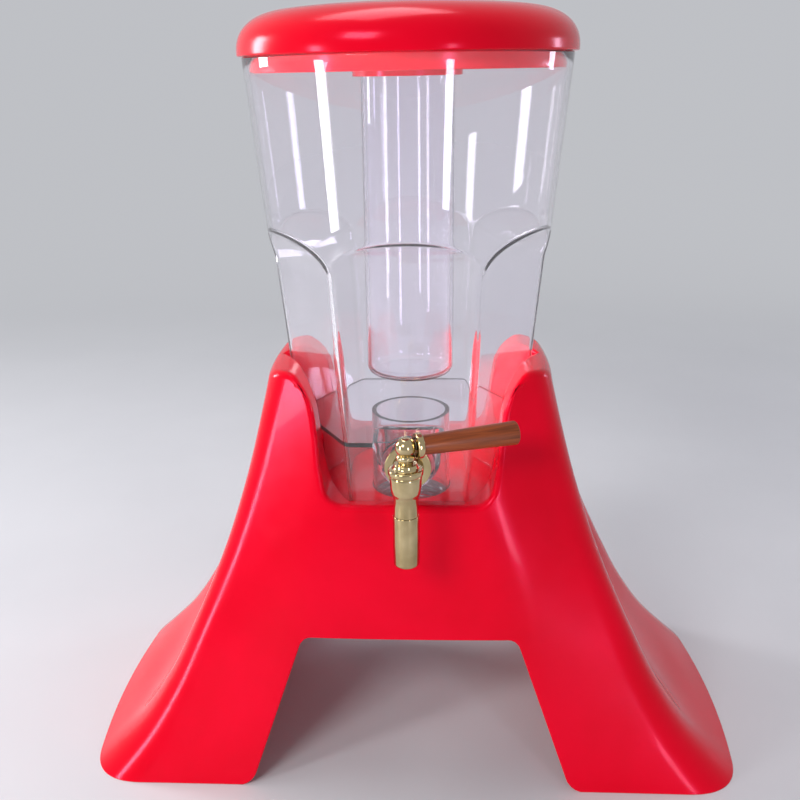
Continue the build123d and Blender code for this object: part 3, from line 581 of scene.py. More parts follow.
# %% Stand: lip, socket and deck
SOCKET_LOW, SOCKET_HIGH = 74.14, 85.2     # distance of the corners at the deck and at HORN_Z
HORN_Z = 272.0
HUB_HOLE = 27.3
DECK_T = 3.0
FIRST_DROP = 3.5          # first row of the socket's wall, below its rounded border
HUB_SHARES = [0, 0.35, 0.7, 1]
LIP_SHARES = [0, 0.45, 0.52, 0.6, 0.68, 0.76, 1]


def socket_corner(z):
    """Distance from the axis to the socket's corners."""
    return SOCKET_LOW + (SOCKET_HIGH - SOCKET_LOW) * (z - DECK_Z) / (HORN_Z - DECK_Z)


def socket_point(x):
    """Where the socket's wall meets the top edge's height, x to the side."""
    z = top_z(x)
    corner = socket_corner(z)
    y = np.where(x < corner / 2, -corner * math.cos(math.pi / 6), -(corner - x) * math.tan(math.pi / 3))
    return np.stack([x, np.minimum(y, 0), z], -1)


def lip_border():
    """The outer skin's border along the top edge: valley, horn's inner edge, tip, flank."""
    start = len(leg_rows) + len(panel_rows) - 1
    return np.concatenate([outer_panel[-1], outer_leg[start:-1, 0][1:], outer_leg[-1]])


def socket_border(outer):
    """The socket's border, straight behind the outer one as far as the tip, then shared out by length."""
    tip = int(np.argmax(outer[:, 2] >= HORN_CORNER - 1e-6))
    step = np.linalg.norm(np.diff(outer[tip:, :2], axis=0), axis=1)
    share = np.concatenate([[0], np.cumsum(step)]) / step.sum()
    start = outer[tip, 0]
    end = halved(np.array(start), np.array(95.0), lambda x: x > socket_corner(top_z(x)))
    return socket_point(np.concatenate([outer[:tip, 0], start + (end - start) * share]))


outer_border = lip_border()
inner_border = socket_border(outer_border)
across = np.array(LIP_SHARES)[:, None, None]
lip = outer_border + (inner_border - outer_border) * across
lip[1:-1, :, 2] = top_z(lip[1:-1, :, 0])


def socket_sheet():
    """The socket's wall: each border point slides down its face towards the deck, keeping its share of
    the face, because the whole section shrinks evenly."""
    drop = inner_border[:, 2] - DECK_Z
    first = FIRST_DROP / drop
    share = np.concatenate([0 * first[None], first + (1 - first) * np.linspace(0, 1, 8)[:, None]])
    z = inner_border[:, 2] - share * drop
    scale = (socket_corner(z) / socket_corner(inner_border[:, 2]))[..., None]
    return np.concatenate([inner_border[:, :2] * scale, z[..., None]], -1)


def to_hub(border, z):
    """Level sheet from a border in to the hub's hole."""
    a = np.linspace(-np.pi / 2, 0, len(border))
    hole = np.stack([HUB_HOLE * np.cos(a), HUB_HOLE * np.sin(a), np.full(len(a), z)], -1)
    return border + (hole - border) * np.array(HUB_SHARES)[:, None, None]


socket = socket_sheet()
deck = to_hub(socket[-1], DECK_Z)
print("lip", lip.shape, "socket", socket.shape, "deck", deck.shape)

# %% [markdown]
# Underneath, the moulding is a shell. Its inner skin is the same form moved in by the wall, up to the
# deck's underside. Thin rims along the arch and the feet join the two skins.

# %% Stand: the inner skin and the rims
UNDERSIDE = DECK_Z - DECK_T
upper_rows = np.linspace(low_z, UNDERSIDE, 18)
inner_z = np.concatenate([leg_rows, upper_rows[1:]])
inner_leg = skin(leg_places(inner_z, STAND_WALL), inner_z[:, None], STAND_WALL)
inner_panel = panel_sheet(upper_rows, roof_z, lambda x: UNDERSIDE + 0 * x, STAND_WALL)
ceiling = to_hub(np.concatenate([inner_panel[-1], inner_leg[-1][1:]]), UNDERSIDE)


def rim(outer, inner):
    """Strip between two matching lines, with a line down its middle."""
    return np.stack([outer, (outer + inner) / 2, inner])


rims = [
    rim(outer_leg[:len(leg_rows), 0], inner_leg[:len(leg_rows), 0]),
    rim(outer_panel[0], inner_panel[0]),
    rim(outer_leg[0], inner_leg[0]),
]


def mirrored(grids):
    """Each quarter sheet four times, mirrored left to right and front to back."""
    signs = [np.array([sx, sy, 1.0]) for sx in (1, -1) for sy in (1, -1)]
    return [(grid * sign, False, False) for grid in grids for sign in signs]


quarter = [outer_leg, outer_panel, lip, socket, deck, inner_leg, inner_panel, ceiling, *rims]
stand_mesh = mesh_from("red_stand", mirrored(quarter), crisp=50.0, bridge=True)

# %% [markdown]
# The sharp borders get their rounding from three Bevel modifiers, each held to a named group of vertices:
# a broad one along the lip's outer edge, a narrower one inside it, and a small one on the thin rims.


# %% Stand: rounded edges
def group_at(piece, name, lines):
    """Puts the vertices that lie on the given quarter lines, or their mirror images, in a group."""
    mesh = piece.data
    points = np.empty(len(mesh.vertices) * 3)
    mesh.vertices.foreach_get("co", points)
    points = points.reshape(-1, 3) / MM - AXIS
    wanted = np.concatenate(lines)
    twentieths = [np.round(np.abs(group) * 20).astype(np.int64) for group in (points, wanted)]
    keys = [whole @ (1, 10**5, 10**10) for whole in twentieths]
    picked = np.nonzero(np.isin(*keys))[0]
    piece.vertex_groups.new(name=name).add(picked.tolist(), 1.0, "REPLACE")
    return len(picked)


def bevel(piece, group, width, segments):
    """Rounds the edges whose both ends are in the group."""
    modifier = piece.modifiers.new("round_" + group, "BEVEL")
    modifier.limit_method = "VGROUP"
    modifier.vertex_group = group
    modifier.width, modifier.segments = width * MM, segments
    modifier.use_clamp_overlap = False


stand = show("red_stand", stand_mesh, "base", ["stand"], RED)
lip_count = group_at(stand, "lip", [outer_border])
socket_count = group_at(stand, "socket", [inner_border])
rim_count = group_at(stand, "rim", [strip[end] for strip in rims for end in (0, -1)])
bevel(stand, "lip", 3.8, 5)
bevel(stand, "socket", 1.6, 3)
bevel(stand, "rim", 0.9, 3)
print("lip, socket and rim vertices", lip_count, socket_count, rim_count)

# %% [markdown]
# ## The tank
# The tank is a round taper whose lower part is pressed in to six flats. Each flat sweeps out at its top in
# a hollow of one radius, and where that meets the round again it draws an arch. In a level section the wall
# is the nearest of the two neighbouring flats and the round; soft minima of them round every edge.

# %% Tank: wall as a function of direction and height
TANK_RIM_R, TANK_TAPER = 100.0, 0.0935    # radius at the rim, and lost per mm below it
TANK_WALL = 3.0
FLOOR_Z = 231.0
FACET_BITE = 0.4          # corners of the flats lie this far inside the round
LEDGE_Z, LEDGE_R = 333.5, 29.3            # where the hollow starts, and its radius
FLAT = math.cos(math.pi / 6)
CORNER_BLEND, ARCH_BLEND = 3.0, 0.9       # widths of the soft minima at the corners and at the arches
TURN_BACK = 1.0           # half the height of the rim's rounding


def soft_min(a, b, width):
    """The smaller of a and b, blended where they differ by less than width: h a + (1-h) b - w h (1-h)."""
    h = np.clip(0.5 + (b - a) / (2 * width), 0, 1)
    return h * a + (1 - h) * b - width * h * (1 - h)


def round_radius(z, inset=0.0):
    """Radius of the round taper at a height."""
    return TANK_RIM_R - TANK_TAPER * (RIM_Z - z) - inset * math.hypot(1, TANK_TAPER)


def flat_distance(z, inset=0.0):
    """Distance of the flats from the axis: the flat's own, plus R - sqrt((R + inset)^2 - h^2), where h is
    the height above the ledge's start and R the hollow's radius."""
    h = np.clip(z - LEDGE_Z, 0, LEDGE_R - 1)
    return FLAT * (round_radius(z) - FACET_BITE) + LEDGE_R - np.sqrt((LEDGE_R + inset) ** 2 - h**2)


def wall_radius(off, z, inset=0.0):
    """Radius of the wall, off radians from the nearest flat's middle, at a height."""
    flat = flat_distance(z, inset)
    pair = soft_min(flat / np.cos(off), flat / np.cos(math.pi / 3 - np.abs(off)), CORNER_BLEND)
    return soft_min(pair, round_radius(z, inset), ARCH_BLEND)


def wall_sheet(bottom, top):
    """The wall as one closed sheet: up the outside, over the rim, down the inside, round the foot. Its
    columns crowd towards the corners and its rows towards the arch's edge."""
    share = np.linspace(-1, 1, 37)[:-1]
    off = np.tile(math.pi / 6 * np.sin(share * math.pi / 2), 6)
    azimuth = off + np.repeat(np.radians(-90.0 + 60 * np.arange(6)), 36)
    arch = halved(np.full(off.shape, LEDGE_Z), np.full(off.shape, LEDGE_Z + LEDGE_R - 1),
                  lambda z: flat_distance(z) > np.cos(off) * round_radius(z))
    bottom, top = bottom + TURN_BACK, top - TURN_BACK
    low = np.linspace(0, 1, 16)[:, None] * (LEDGE_Z - 5 - bottom) + bottom
    near = LEDGE_Z + np.array([-3, -2, -1, 0])[:, None]
    ledge = LEDGE_Z + (arch - LEDGE_Z) * (1 - (1 - np.linspace(0, 1, 20)[1:, None]) ** 1.5)
    high = arch + (top - arch) * np.linspace(0, 1, 34)[1:, None] ** 2.0
    z = np.concatenate([low + 0 * off, near + 0 * off, ledge, high])
    outer, inner = wall_radius(off, z), wall_radius(off, z, TANK_WALL)
    a = np.linspace(0, math.pi, 9)[1:-1, None]
    half, mid = (outer - inner) / 2, (outer + inner) / 2
    rim_r, rim_z = mid[-1] + half[-1] * np.cos(a), z[-1] + TURN_BACK * np.sin(a)
    foot_r, foot_z = mid[0] - half[0] * np.cos(a), z[0] - TURN_BACK * np.sin(a)
    r = np.concatenate([outer, rim_r, inner[::-1], foot_r])
    h = np.concatenate([z, rim_z + 0 * off, z[::-1], foot_z + 0 * off])
    return ring_sheet(np.stack([r * np.cos(azimuth), r * np.sin(azimuth), h], -1))


wall = wall_sheet(DECK_Z, RIM_Z)
print("tank wall sheet", wall[0].shape)

# %% [markdown]
# The floor is a flat six-sided plate. A trough with a half-round bottom, the sump, hangs under it at the
# front so that the tap can drain the last of the drink. A boss thickens the front flat for the tap, and a
# threaded hub points down through the deck. These closed bodies are then united, and the sump is hollowed.

# %% Tank: floor, sump, boss and hub
SHANK_Z = 218.0           # height of the tap's shank
BOSS_R = 17.0
SUMP_HALF, SUMP_CENTRE_Z = 17.0, 220.0
SUMP_FLARE = 3.0          # widening of its sides at the top
SUMP_LENGTH = 26.5
SUMP_END_ROUND = 6.0
SEAT_Y, BOSS_Y = -62.6, span("outer_gasket")[1][1]     # the boss's inner and outer face
HUB_LOW = span("tank")[0][2]
HUB_R, HUB_THREAD_R, HUB_BORE = 26.6, 27, 23.5
THREAD_ROOT, THREAD_PITCH = 26.1, 4


def floor_sheet():
    """Plate with a corner at every 60 degrees: centre, lower border, upper border, centre."""
    a = np.linspace(0, 2 * math.pi, 216, endpoint=False)
    off = math.pi / 6 - np.abs((a + math.pi / 6) % (math.pi / 3) - math.pi / 6)
    rows = []
    for z, share in ((FLOOR_Z - TANK_WALL, 0), (FLOOR_Z - TANK_WALL, 1), (FLOOR_Z, 1), (FLOOR_Z, 0)):
        r = share * wall_radius(off, z, TANK_WALL / 2)
        rows.append(np.stack([r * np.cos(a), r * np.sin(a), z + 0 * a], -1))
    return (np.array(rows), False, True)


def trough_sheet(half, flare, top, front, back):
    """Trough along Y: a half circle with straight sides that flare at the top, its back end rounded by
    shrinking the section towards the middle of its top."""
    arc_points = arc((0, SUMP_CENTRE_Z), half, 180, 360, 30)
    rise = top - SUMP_CENTRE_Z
    side = np.array([(half + flare * w**3, SUMP_CENTRE_Z + rise * w) for w in np.linspace(0.2, 1, 8)])
    section = np.concatenate([arc_points, side, side[::-1] * (-1, 1)])
    a = np.linspace(0, math.pi / 2, 7)
    y = np.concatenate([[front, front], back - SUMP_END_ROUND + SUMP_END_ROUND * np.sin(a), [back]])
    scale = np.concatenate([[0, 1], 1 - (SUMP_END_ROUND / half) * (1 - np.cos(a)), [0]])
    x = section[:, 0] * scale[:, None]
    z = top + (section[:, 1] - top) * scale[:, None]
    return (np.stack([x, y[:, None] + 0 * x, z], -1), False, True)


def hub_sheet():
    """Tube with a ridged outside below the deck."""
    outline = [(THREAD_ROOT, HUB_LOW)]
    for k in range(4):
        z = HUB_LOW + 1 + THREAD_PITCH * k
        outline += [(THREAD_ROOT, z), (HUB_THREAD_R, z + 1), (HUB_THREAD_R, z + 2), (THREAD_ROOT, z + 3)]
    outline += [(HUB_R, DECK_Z - 2), (HUB_R, FLOOR_Z - 1), (HUB_BORE, FLOOR_Z - 1), (HUB_BORE, HUB_LOW)]
    return ring_sheet(turned(rounded(outline, 0.4, 3)))


def boss_sheet():
    """Disc on the front flat, its outer edge rounded."""
    thick = SEAT_Y - BOSS_Y
    outline = rounded([(0, 0), (BOSS_R, 0), (BOSS_R, thick), (0, thick)], [0, 1.0, 0.3, 0])
    return (placed(turned(outline), (0, BOSS_Y, SHANK_Z), (0, 1, 0)), False, True)


def combined(name, first, others):
    """First mesh united with, or cut by, the others, worked out exactly and kept as a plain mesh."""
    base = bpy.data.objects.new(name, first)
    bpy.context.scene.collection.objects.link(base)
    helpers = []
    for operation, mesh in others:
        helper = bpy.data.objects.new(name + "_helper", mesh)
        bpy.context.scene.collection.objects.link(helper)
        modifier = base.modifiers.new(operation, "BOOLEAN")
        modifier.operation, modifier.object, modifier.solver = operation, helper, "EXACT"
        helpers.append(helper)
    graph = bpy.context.evaluated_depsgraph_get()
    result = bpy.data.meshes.new_from_object(base.evaluated_get(graph))
    for helper in [base, *helpers]:
        bpy.data.objects.remove(helper)
    work = bmesh.new()
    work.from_mesh(result)
    bmesh.ops.remove_doubles(work, verts=work.verts, dist=0.00001)
    open_edges = sum(len(edge.link_faces) != 2 for edge in work.edges)
    work.to_mesh(result)
    work.free()
    result.polygons.foreach_set("use_smooth", np.ones(len(result.polygons), bool))
    result.set_sharp_from_angle(angle=math.radians(32))
    print(f"{name}: {len(result.polygons)} faces, {open_edges} open edges")
    return result


sump_back = SEAT_Y + SUMP_LENGTH
outside = trough_sheet(SUMP_HALF + TANK_WALL, SUMP_FLARE * 1.5, FLOOR_Z - 1.2, -65.0, sump_back + TANK_WALL)
inside = trough_sheet(SUMP_HALF, SUMP_FLARE, FLOOR_Z + 1, SEAT_Y, sump_back)
tank_mesh = combined("clear_tank", mesh_from("tank_wall", [wall]), [
    ("UNION", mesh_from("tank_floor", [floor_sheet()])),
    ("UNION", mesh_from("sump_outside", [outside])),
    ("UNION", mesh_from("tap_boss", [boss_sheet()])),
    ("UNION", mesh_from("tank_hub", [hub_sheet()])),
    ("DIFFERENCE", mesh_from("sump_inside", [inside])),
])
show("clear_tank", tank_mesh, "base", ["tank"], CLEAR)

# %% [markdown]
# ## Lid and ice tube
# The lid is one turned shell: a domed top over a rounded shoulder, a short upright lip that overhangs the
# tank, and a skirt inside the rim. A collar under the crown holds the ice tube by its two lugs.


# %% Lid
(_, _, SKIRT_LOW), (LIP_R, _, CROWN_Z) = span("lid")
LID_HEIGHT, LID_WALL = 28.2, 2.5
SEAT_Z = CROWN_Z - LID_HEIGHT
LIP_FACE = 3.0            # upright part of the lip
SKIRT_INSET, SKIRT_LIFT = 7.2, 3.0        # skirt behind the lip, and its foot above the collar's
SHOULDER_R, SHOULDER_FALL = 75.5, 3.2     # where the dome turns into the shoulder, below the crown


def dome(lip, drop):
    """The dome's line from the crown out and down to the lip, lowered by drop."""
    crown = CROWN_Z - drop
    shoulder = (SHOULDER_R, crown - SHOULDER_FALL)
    top = bezier([(0, crown), (25, crown), (55, crown - 0.7), shoulder], 22)
    side = bezier([shoulder, (lip - 10, crown - 4.6), (lip, crown - 13), (lip, SEAT_Z + LIP_FACE)], 30)
    return np.concatenate([top, side[1:]])


def lid_outline():
    """Outside from crown to lip, seat on the rim, skirt, and the inside back to the crown."""
    skirt, foot = LIP_R - SKIRT_INSET, SKIRT_LOW + SKIRT_LIFT
    under = rounded(
        [(LIP_R, SEAT_Z + 2.9), (LIP_R, SEAT_Z), (skirt, SEAT_Z), (skirt, foot),
         (skirt - LID_WALL, foot), (skirt - LID_WALL, SEAT_Z + 2), (LIP_R - 3, SEAT_Z + 2)],
        [0, 1.1, 0.6, 0.9, 0.9, 0.5, 0.8],
    )
    inside = dome(LIP_R - LID_WALL, LID_WALL)[::-1]
    return np.concatenate([dome(LIP_R, 0), under, inside[inside[:, 1] > SEAT_Z + 3.2]])


COLLAR_R, COLLAR_BORE, COLLAR_LIP_R = 33.7, 31.1, 29.2
COLLAR_TOP, COLLAR_LIP_Z = CROWN_Z - 1.5, SKIRT_LOW + 3.2
collar = rounded(
    [(COLLAR_R, SKIRT_LOW), (COLLAR_R, COLLAR_TOP), (COLLAR_BORE, COLLAR_TOP), (COLLAR_BORE, COLLAR_LIP_Z),
     (COLLAR_LIP_R, COLLAR_LIP_Z), (COLLAR_LIP_R, SKIRT_LOW)],
    [0.5, 0.2, 0.2, 0.2, 0.4, 0.4],
)
lid_sheets = [(turned(lid_outline(), 192), False, True), ring_sheet(turned(collar))]
lid_mesh = mesh_from("red_lid", lid_sheets, crisp=45.0)
show("red_lid", lid_mesh, "lid", ["lid"], RED)

# %% [markdown]
# The ice tube is a deep thin beaker with a well rounded bottom. A shallow groove near its top takes a seal,
# and two lugs stand out under the collar's grip.

# %% Ice tube
TUBE_R, TUBE_WALL = 28.8, 2.2
tube_low, tube_high = (corner[2] for corner in span("ice_tube"))
SEAL_Z, GROOVE_HALF, GROOVE_DEPTH = 463.0, 1.1, 0.5
LUG_LOW, LUG_HIGH = SKIRT_LOW + 3.5, SKIRT_LOW + 6.5
LUG_IN, LUG_OUT, LUG_HALF_ANGLE = TUBE_R - 0.4, TUBE_R + 1.9, 14


def lug_sheet(azimuth):
    """Small block on the tube, swept round the axis, closed to a point in each end face."""
    outline = rounded([(LUG_IN, LUG_LOW), (LUG_OUT, LUG_LOW), (LUG_OUT, LUG_HIGH), (LUG_IN, LUG_HIGH)], 0.4)
    sweep = np.linspace(-LUG_HALF_ANGLE, LUG_HALF_ANGLE, 9)
    a = np.radians(azimuth + np.array([sweep[0], *sweep, sweep[-1]]))
    middle = outline.mean(0)
    scale = np.array([0] + [1] * len(sweep) + [0])
    section = middle + (outline[:, None] - middle) * scale[:, None]
    r, h = section[..., 0], section[..., 1]
    return (np.stack([r * np.cos(a), r * np.sin(a), h], -1), True, False)


groove_low, groove_high, groove_r = SEAL_Z - GROOVE_HALF, SEAL_Z + GROOVE_HALF, TUBE_R - GROOVE_DEPTH
bore, bottom = TUBE_R - TUBE_WALL, tube_low + TUBE_WALL
tube_outline = rounded(
    [(0, tube_low), (TUBE_R, tube_low), (TUBE_R, groove_low), (groove_r, groove_low),
     (groove_r, groove_high), (TUBE_R, groove_high), (TUBE_R, tube_high),
     (bore, tube_high), (bore, bottom), (0, bottom)],
    [0, 7, 0.2, 0.1, 0.1, 0.2, 0.8, 0.8, 5, 0], 9,
)
tube_sheets = [(turned(tube_outline, 144), False, True), lug_sheet(0), lug_sheet(180)]
tube_mesh = mesh_from("clear_ice_tube", tube_sheets)
show("clear_ice_tube", tube_mesh, "ice_tube", ["ice_tube"], CLEAR)

# %% [markdown]
# ## The tap
# The tap is a small barrel with a coved waist, an outlet tube pushed on from below, and a threaded shank
# that goes back through the tank's wall. The plug that turns in it ends in a bead and a flattened ball.

# %% Tap: places and the turned body
TAP_Y = -115.0            # the barrel's axis
TAP = (0, TAP_Y, 0)
UP, BACK = (0, 0, 1), (0, 1, 0)
BALL = (0, TAP_Y, 248.2)
LEVER = (math.cos(math.radians(LEVER_AZIMUTH)), math.sin(math.radians(LEVER_AZIMUTH)), 0)
SHANK_R, SHANK_BORE, SHANK_THREAD = 7.95, 3.6, 0.6
SHANK_START, SHANK_END = 7.0, 66.0        # behind the barrel's axis


def ring_at(outline, at, axis, segments=72):
    """Closed outline turned about an axis through a point."""
    return ring_sheet(placed(turned(outline, segments), at, axis))


barrel = rounded(
    [(3.6, 199), (5.2, 199), (5.2, 206), (7.4, 206), (7.2, 209), (6.9, 214.6), (7.6, 218.6),
     (8.5, 220.4), (9.0, 223.5), (9.3, 230.4), (8.8, 231.5), (7, 231.6), (7, 235), (5.27, 235),
     (5.27, 211.3), (3.6, 211.3)],
    [0.2, 0.3, 0, 0.5, 1.5, 2.5, 1.6, 0.8, 1.5, 0.8, 0.3, 0, 0.3, 0.2, 0, 0],
)
disc, seat = span("tap_backing_disc")[0][1] - TAP_Y, SEAT_Y - TAP_Y
shank = rounded(
    [(SHANK_BORE, SHANK_START), (8, SHANK_START), (8, disc - 10), (7, disc - 9), (9.9, disc - 0.8),
     (9.9, disc), (SHANK_R, disc), (SHANK_R, seat - 2.9), (SHANK_R, seat)]
    + [(SHANK_R - SHANK_THREAD * (k % 2), seat + SHANK_THREAD * (k + 1)) for k in range(20)]
    + [(7.4, SHANK_END - 0.2), (6.6, SHANK_END), (SHANK_BORE, SHANK_END)], 0.25, 3,
)
body_sheets = [ring_at(barrel, TAP, UP), ring_at(shank, (0, TAP_Y, SHANK_Z), BACK)]
body_mesh = mesh_from("tap_barrel", body_sheets, crisp=40.0)
show("tap_barrel", body_mesh, "base", ["tap_body"], GOLD)

# %% [markdown]
# Each remaining piece of the tap is one outline. Corners are rounded by a few tenths of a millimetre,
# as polishing before plating leaves them.


# %% Tap: outlet, nut, plug, lever
def turned_piece(name, outline, at, axis, body, node, material, poles=False):
    """A turned piece that stands for one node."""
    grid = placed(turned(outline, 72), at, axis)
    mesh = mesh_from(name, [(grid, not poles, True)], crisp=40.0)
    return show(name, mesh, body, [node], material)


spout = rounded(
    [(5.6, 174), (6.9, 174), (7.6, 174.9), (7.75, 182), (7.8, 190), (7.7, 202), (7.55, 206), (5.25, 206),
     (5.25, 199), (5.6, 198.9)],
    [0.3, 0.4, 0.4, 3, 3, 1, 0.4, 0.2, 0, 0.2],
)
collar_nut = rounded(
    [(7.05, 231.6), (9.6, 231.6), (10.2, 232.3), (10.2, 234.7), (9.5, 235.4), (8.0, 235.5), (7.0, 236.6),
     (6.6, 238.4), (4.4, 238.4), (4.4, 235.1), (7.05, 235.1)],
    [0.2, 0.4, 0.4, 0.4, 0.4, 0.5, 0.5, 0.4, 0.2, 0, 0],
)
stem = rounded(
    [(0, 211.6), (5.2, 211.6), (5.2, 213.08), (4.36, 213.08), (4.36, 214.12), (5.2, 214.12), (5.2, 221.88),
     (4.36, 221.88), (4.36, 222.92), (5.2, 222.92), (5.2, 233.6), (4.3, 233.6), (4.3, 240.1), (4.8, 240.2),
     (5.5, 241.2), (5.5, 242.8), (4.8, 243.8), (4.3, 244)],
    [0] + [0.15] * 12 + [0.4] * 4 + [0.1], 4,
)
plug = np.concatenate([stem, arc((0, BALL[2]), 6.0, -44, 71.8, 24), [(0, 253.9)]])
ferrule = rounded([(2.05, 5.8), (7.5, 5.8), (7.5, 9.8), (2.05, 9.8)], [0.2, 1.1, 1.1, 0.2])
grip = rounded(
    [(2.05, 9.8), (5.7, 9.8), (6.1, 25), (6.6, 45), (7.1, 68), (2.05, 68), (2.05, 48.8)],
    [0.2, 0.5, 6, 6, 1.2, 0.2, 0],
)
turned_piece("spout", spout, TAP, UP, "base", "tap_nozzle", GOLD)
turned_piece("collar_nut", collar_nut, TAP, UP, "base", "plug_collar_nut", GOLD)
turned_piece("tap_plug_and_ball", plug, TAP, UP, "tap_lever", "tap_plug", GOLD, poles=True)
turned_piece("lever_ferrule", ferrule, BALL, LEVER, "tap_lever", "handle_ferrule", GOLD)
turned_piece("wooden_grip", grip, BALL, LEVER, "tap_lever", "wood_handle", WOOD)

# %% [markdown]
# On the shank sit the seals and the steel fasteners that clamp the tap to the tank. Their sizes are read
# from the frame; only their edges are new.


# %% Rings on the shank
RING_BORE = 8.05


def shank_ring(name, node, material, edge):
    """Rounded ring that fills the node's box along the shank."""
    (_, near, _), (radius, far, _) = span(node)
    outline = rounded([(RING_BORE, 0), (radius, 0), (radius, far - near), (RING_BORE, far - near)], edge)
    return turned_piece(name, outline, (0, near, SHANK_Z), BACK, "base", node, material)


shank_ring("backing_disc", "tap_backing_disc", GOLD, [0.1, 0.6, 0.3, 0.1])
shank_ring("black_gasket", "outer_gasket", RUBBER, [0.1, 1.2, 1.2, 0.1])
shank_ring("inside_gasket", "inner_gasket", RUBBER, [0.1, 0.7, 0.7, 0.1])
shank_ring("steel_washer", "inner_washer", STEEL, [0.1, 0.3, 0.3, 0.1])


def polar(grid):
    """Radius and angle of a grid's points about the Z axis."""
    return np.hypot(grid[..., 0], grid[..., 1]), np.arctan2(grid[..., 1], grid[..., 0])


def hexagon_nut():
    """Nut whose chamfered turned outline is cut by six flats: the smaller of the outline's radius and
    flat / cos(angle from the flat's middle)."""
    (_, near, _), (_, far, high) = span("tap_lock_nut")
    flat, thick = high - SHANK_Z, far - near
    chamfer, corner = flat + 0.2, flat + 1.55
    outline = rounded(
        [(RING_BORE, 0), (chamfer, 0), (corner, 0.8), (corner, thick - 0.8), (chamfer, thick),
         (RING_BORE, thick)], 0.2,
    )
    grid = turned(outline, 144)
    radius, a = polar(grid)
    off = (a + math.pi / 6) % (math.pi / 3) - math.pi / 6
    grid[..., :2] *= (np.minimum(radius, flat / np.cos(off)) / radius)[..., None]
    return ring_sheet(placed(grid, (0, near, SHANK_Z), BACK))


NUT_BORE, NUT_FLANGE = 27.1, 2.5
BITE_DEPTH, BITE_HALF, BITES = 2.7, 5.4, 8
BITTEN_R = 35.0           # points further out than this move with the hollows


def grip_nut():
    """Ring nut under the deck: round hollows, depth * sqrt(1 - (arc / half)^2), bitten into its rim
    below a flange."""
    (_, _, low), (rim_r, _, high) = span("tank_ring_nut")
    outline = rounded(
        [(NUT_BORE, low), (rim_r, low), (rim_r, high - NUT_FLANGE), (rim_r, high), (NUT_BORE, high)],
        [0.4, 1, 0.2, 0.6, 0.4],
    )
    grid = turned(outline, 240)
    radius, a = polar(grid)
    off = a % (2 * math.pi / BITES) - math.pi / BITES
    bite = BITE_DEPTH * np.sqrt(np.clip(1 - (off * rim_r / BITE_HALF) ** 2, 0, 1))
    below_flange = grid[..., 2] < high - NUT_FLANGE + 0.1
    grid[..., :2] *= (1 - np.where((radius > BITTEN_R) & below_flange, bite, 0) / rim_r)[..., None]
    return ring_sheet(grid)


hexagon_mesh = mesh_from("hexagon_nut", [hexagon_nut()], crisp=25.0)
show("hexagon_nut", hexagon_mesh, "base", ["tap_lock_nut"], STEEL)
grip_mesh = mesh_from("grip_nut", [grip_nut()], crisp=30.0)
show("grip_nut", grip_mesh, "base", ["tank_ring_nut"], DARK)

# %% [markdown]
# Four small pieces keep their own meshes, because hardly anything of them shows: the friction washer, the
# plug's seals, the lever's stud and the ice tube's seal. They only get their finishes.

# %% Finishes on pieces that keep their meshes
kept_finishes = {
    "plug_friction_washer": GOLD, "plug_seal_rings": RUBBER, "lever_stud": STEEL, "ice_tube_seal": RUBBER,
}
for node, material in kept_finishes.items():
    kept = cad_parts[node]
    kept.data.materials.clear()
    kept.data.materials.append(material)
    print("finish on", node, "is", material.name)

# %% [markdown]
# ## Studio
# The floor is pale and cool, and runs up into a backdrop. Close to the object it is lit and takes the
# shadow; further off the camera, mirrors and clear plastic all see one even tone, which the world also
# shows them. What lights the object is a dimmer world, four narrow windows that draw the highlights, and
# two broad lamps for the rest.

# %% Even background tone
BACKGROUND = (0.52, 0.53, 0.56, 1)
EVEN_FROM, EVEN_AT = 0.4, 1.8             # metres from the middle over which the floor turns even
WORLD_LIGHT = 0.24


def seen_directly(tree):
    """1 for rays from the camera, a mirror or through glass, 0 for light off a dull surface."""
    rays = tree.nodes.new("ShaderNodeLightPath")
    total = rays.outputs["Is Camera Ray"]
    for kind in ("Is Glossy Ray", "Is Transmission Ray"):
        either = tree.nodes.new("ShaderNodeMath")
        either.operation = "MAXIMUM"
        tree.links.new(total, either.inputs[0])
        tree.links.new(rays.outputs[kind], either.inputs[1])
        total = either.outputs["Value"]
    return total


def studio_floor():
    """Dull pale floor, blended into the even tone with the distance from the middle."""
    material, tree, shader = new_finish("studio_floor", Roughness=0.65)
    tone = ramp(tree, noise(tree, 6.0), [(0.3, (0.66, 0.67, 0.7)), (0.7, (0.69, 0.7, 0.73))])
    tree.links.new(tone, shader.inputs["Base Color"])
    even = tree.nodes.new("ShaderNodeEmission")
    even.inputs["Color"].default_value = BACKGROUND
    where, length = tree.nodes.new("ShaderNodeTexCoord"), tree.nodes.new("ShaderNodeVectorMath")
    length.operation = "LENGTH"
    tree.links.new(where.outputs["Object"], length.inputs[0])
    far = tree.nodes.new("ShaderNodeMapRange")
    far.interpolation_type = "SMOOTHSTEP"
    far.inputs["From Min"].default_value, far.inputs["From Max"].default_value = EVEN_FROM, EVEN_AT
    tree.links.new(length.outputs["Value"], far.inputs["Value"])
    share, mix = tree.nodes.new("ShaderNodeMath"), tree.nodes.new("ShaderNodeMixShader")
    share.operation = "MULTIPLY"
    tree.links.new(far.outputs["Result"], share.inputs[0])
    tree.links.new(seen_directly(tree), share.inputs[1])
    tree.links.new(share.outputs["Value"], mix.inputs["Fac"])
    tree.links.new(shader.outputs["BSDF"], mix.inputs[1])
    tree.links.new(even.outputs["Emission"], mix.inputs[2])
    tree.links.new(mix.outputs["Shader"], tree.nodes["Material Output"].inputs["Surface"])
    return material


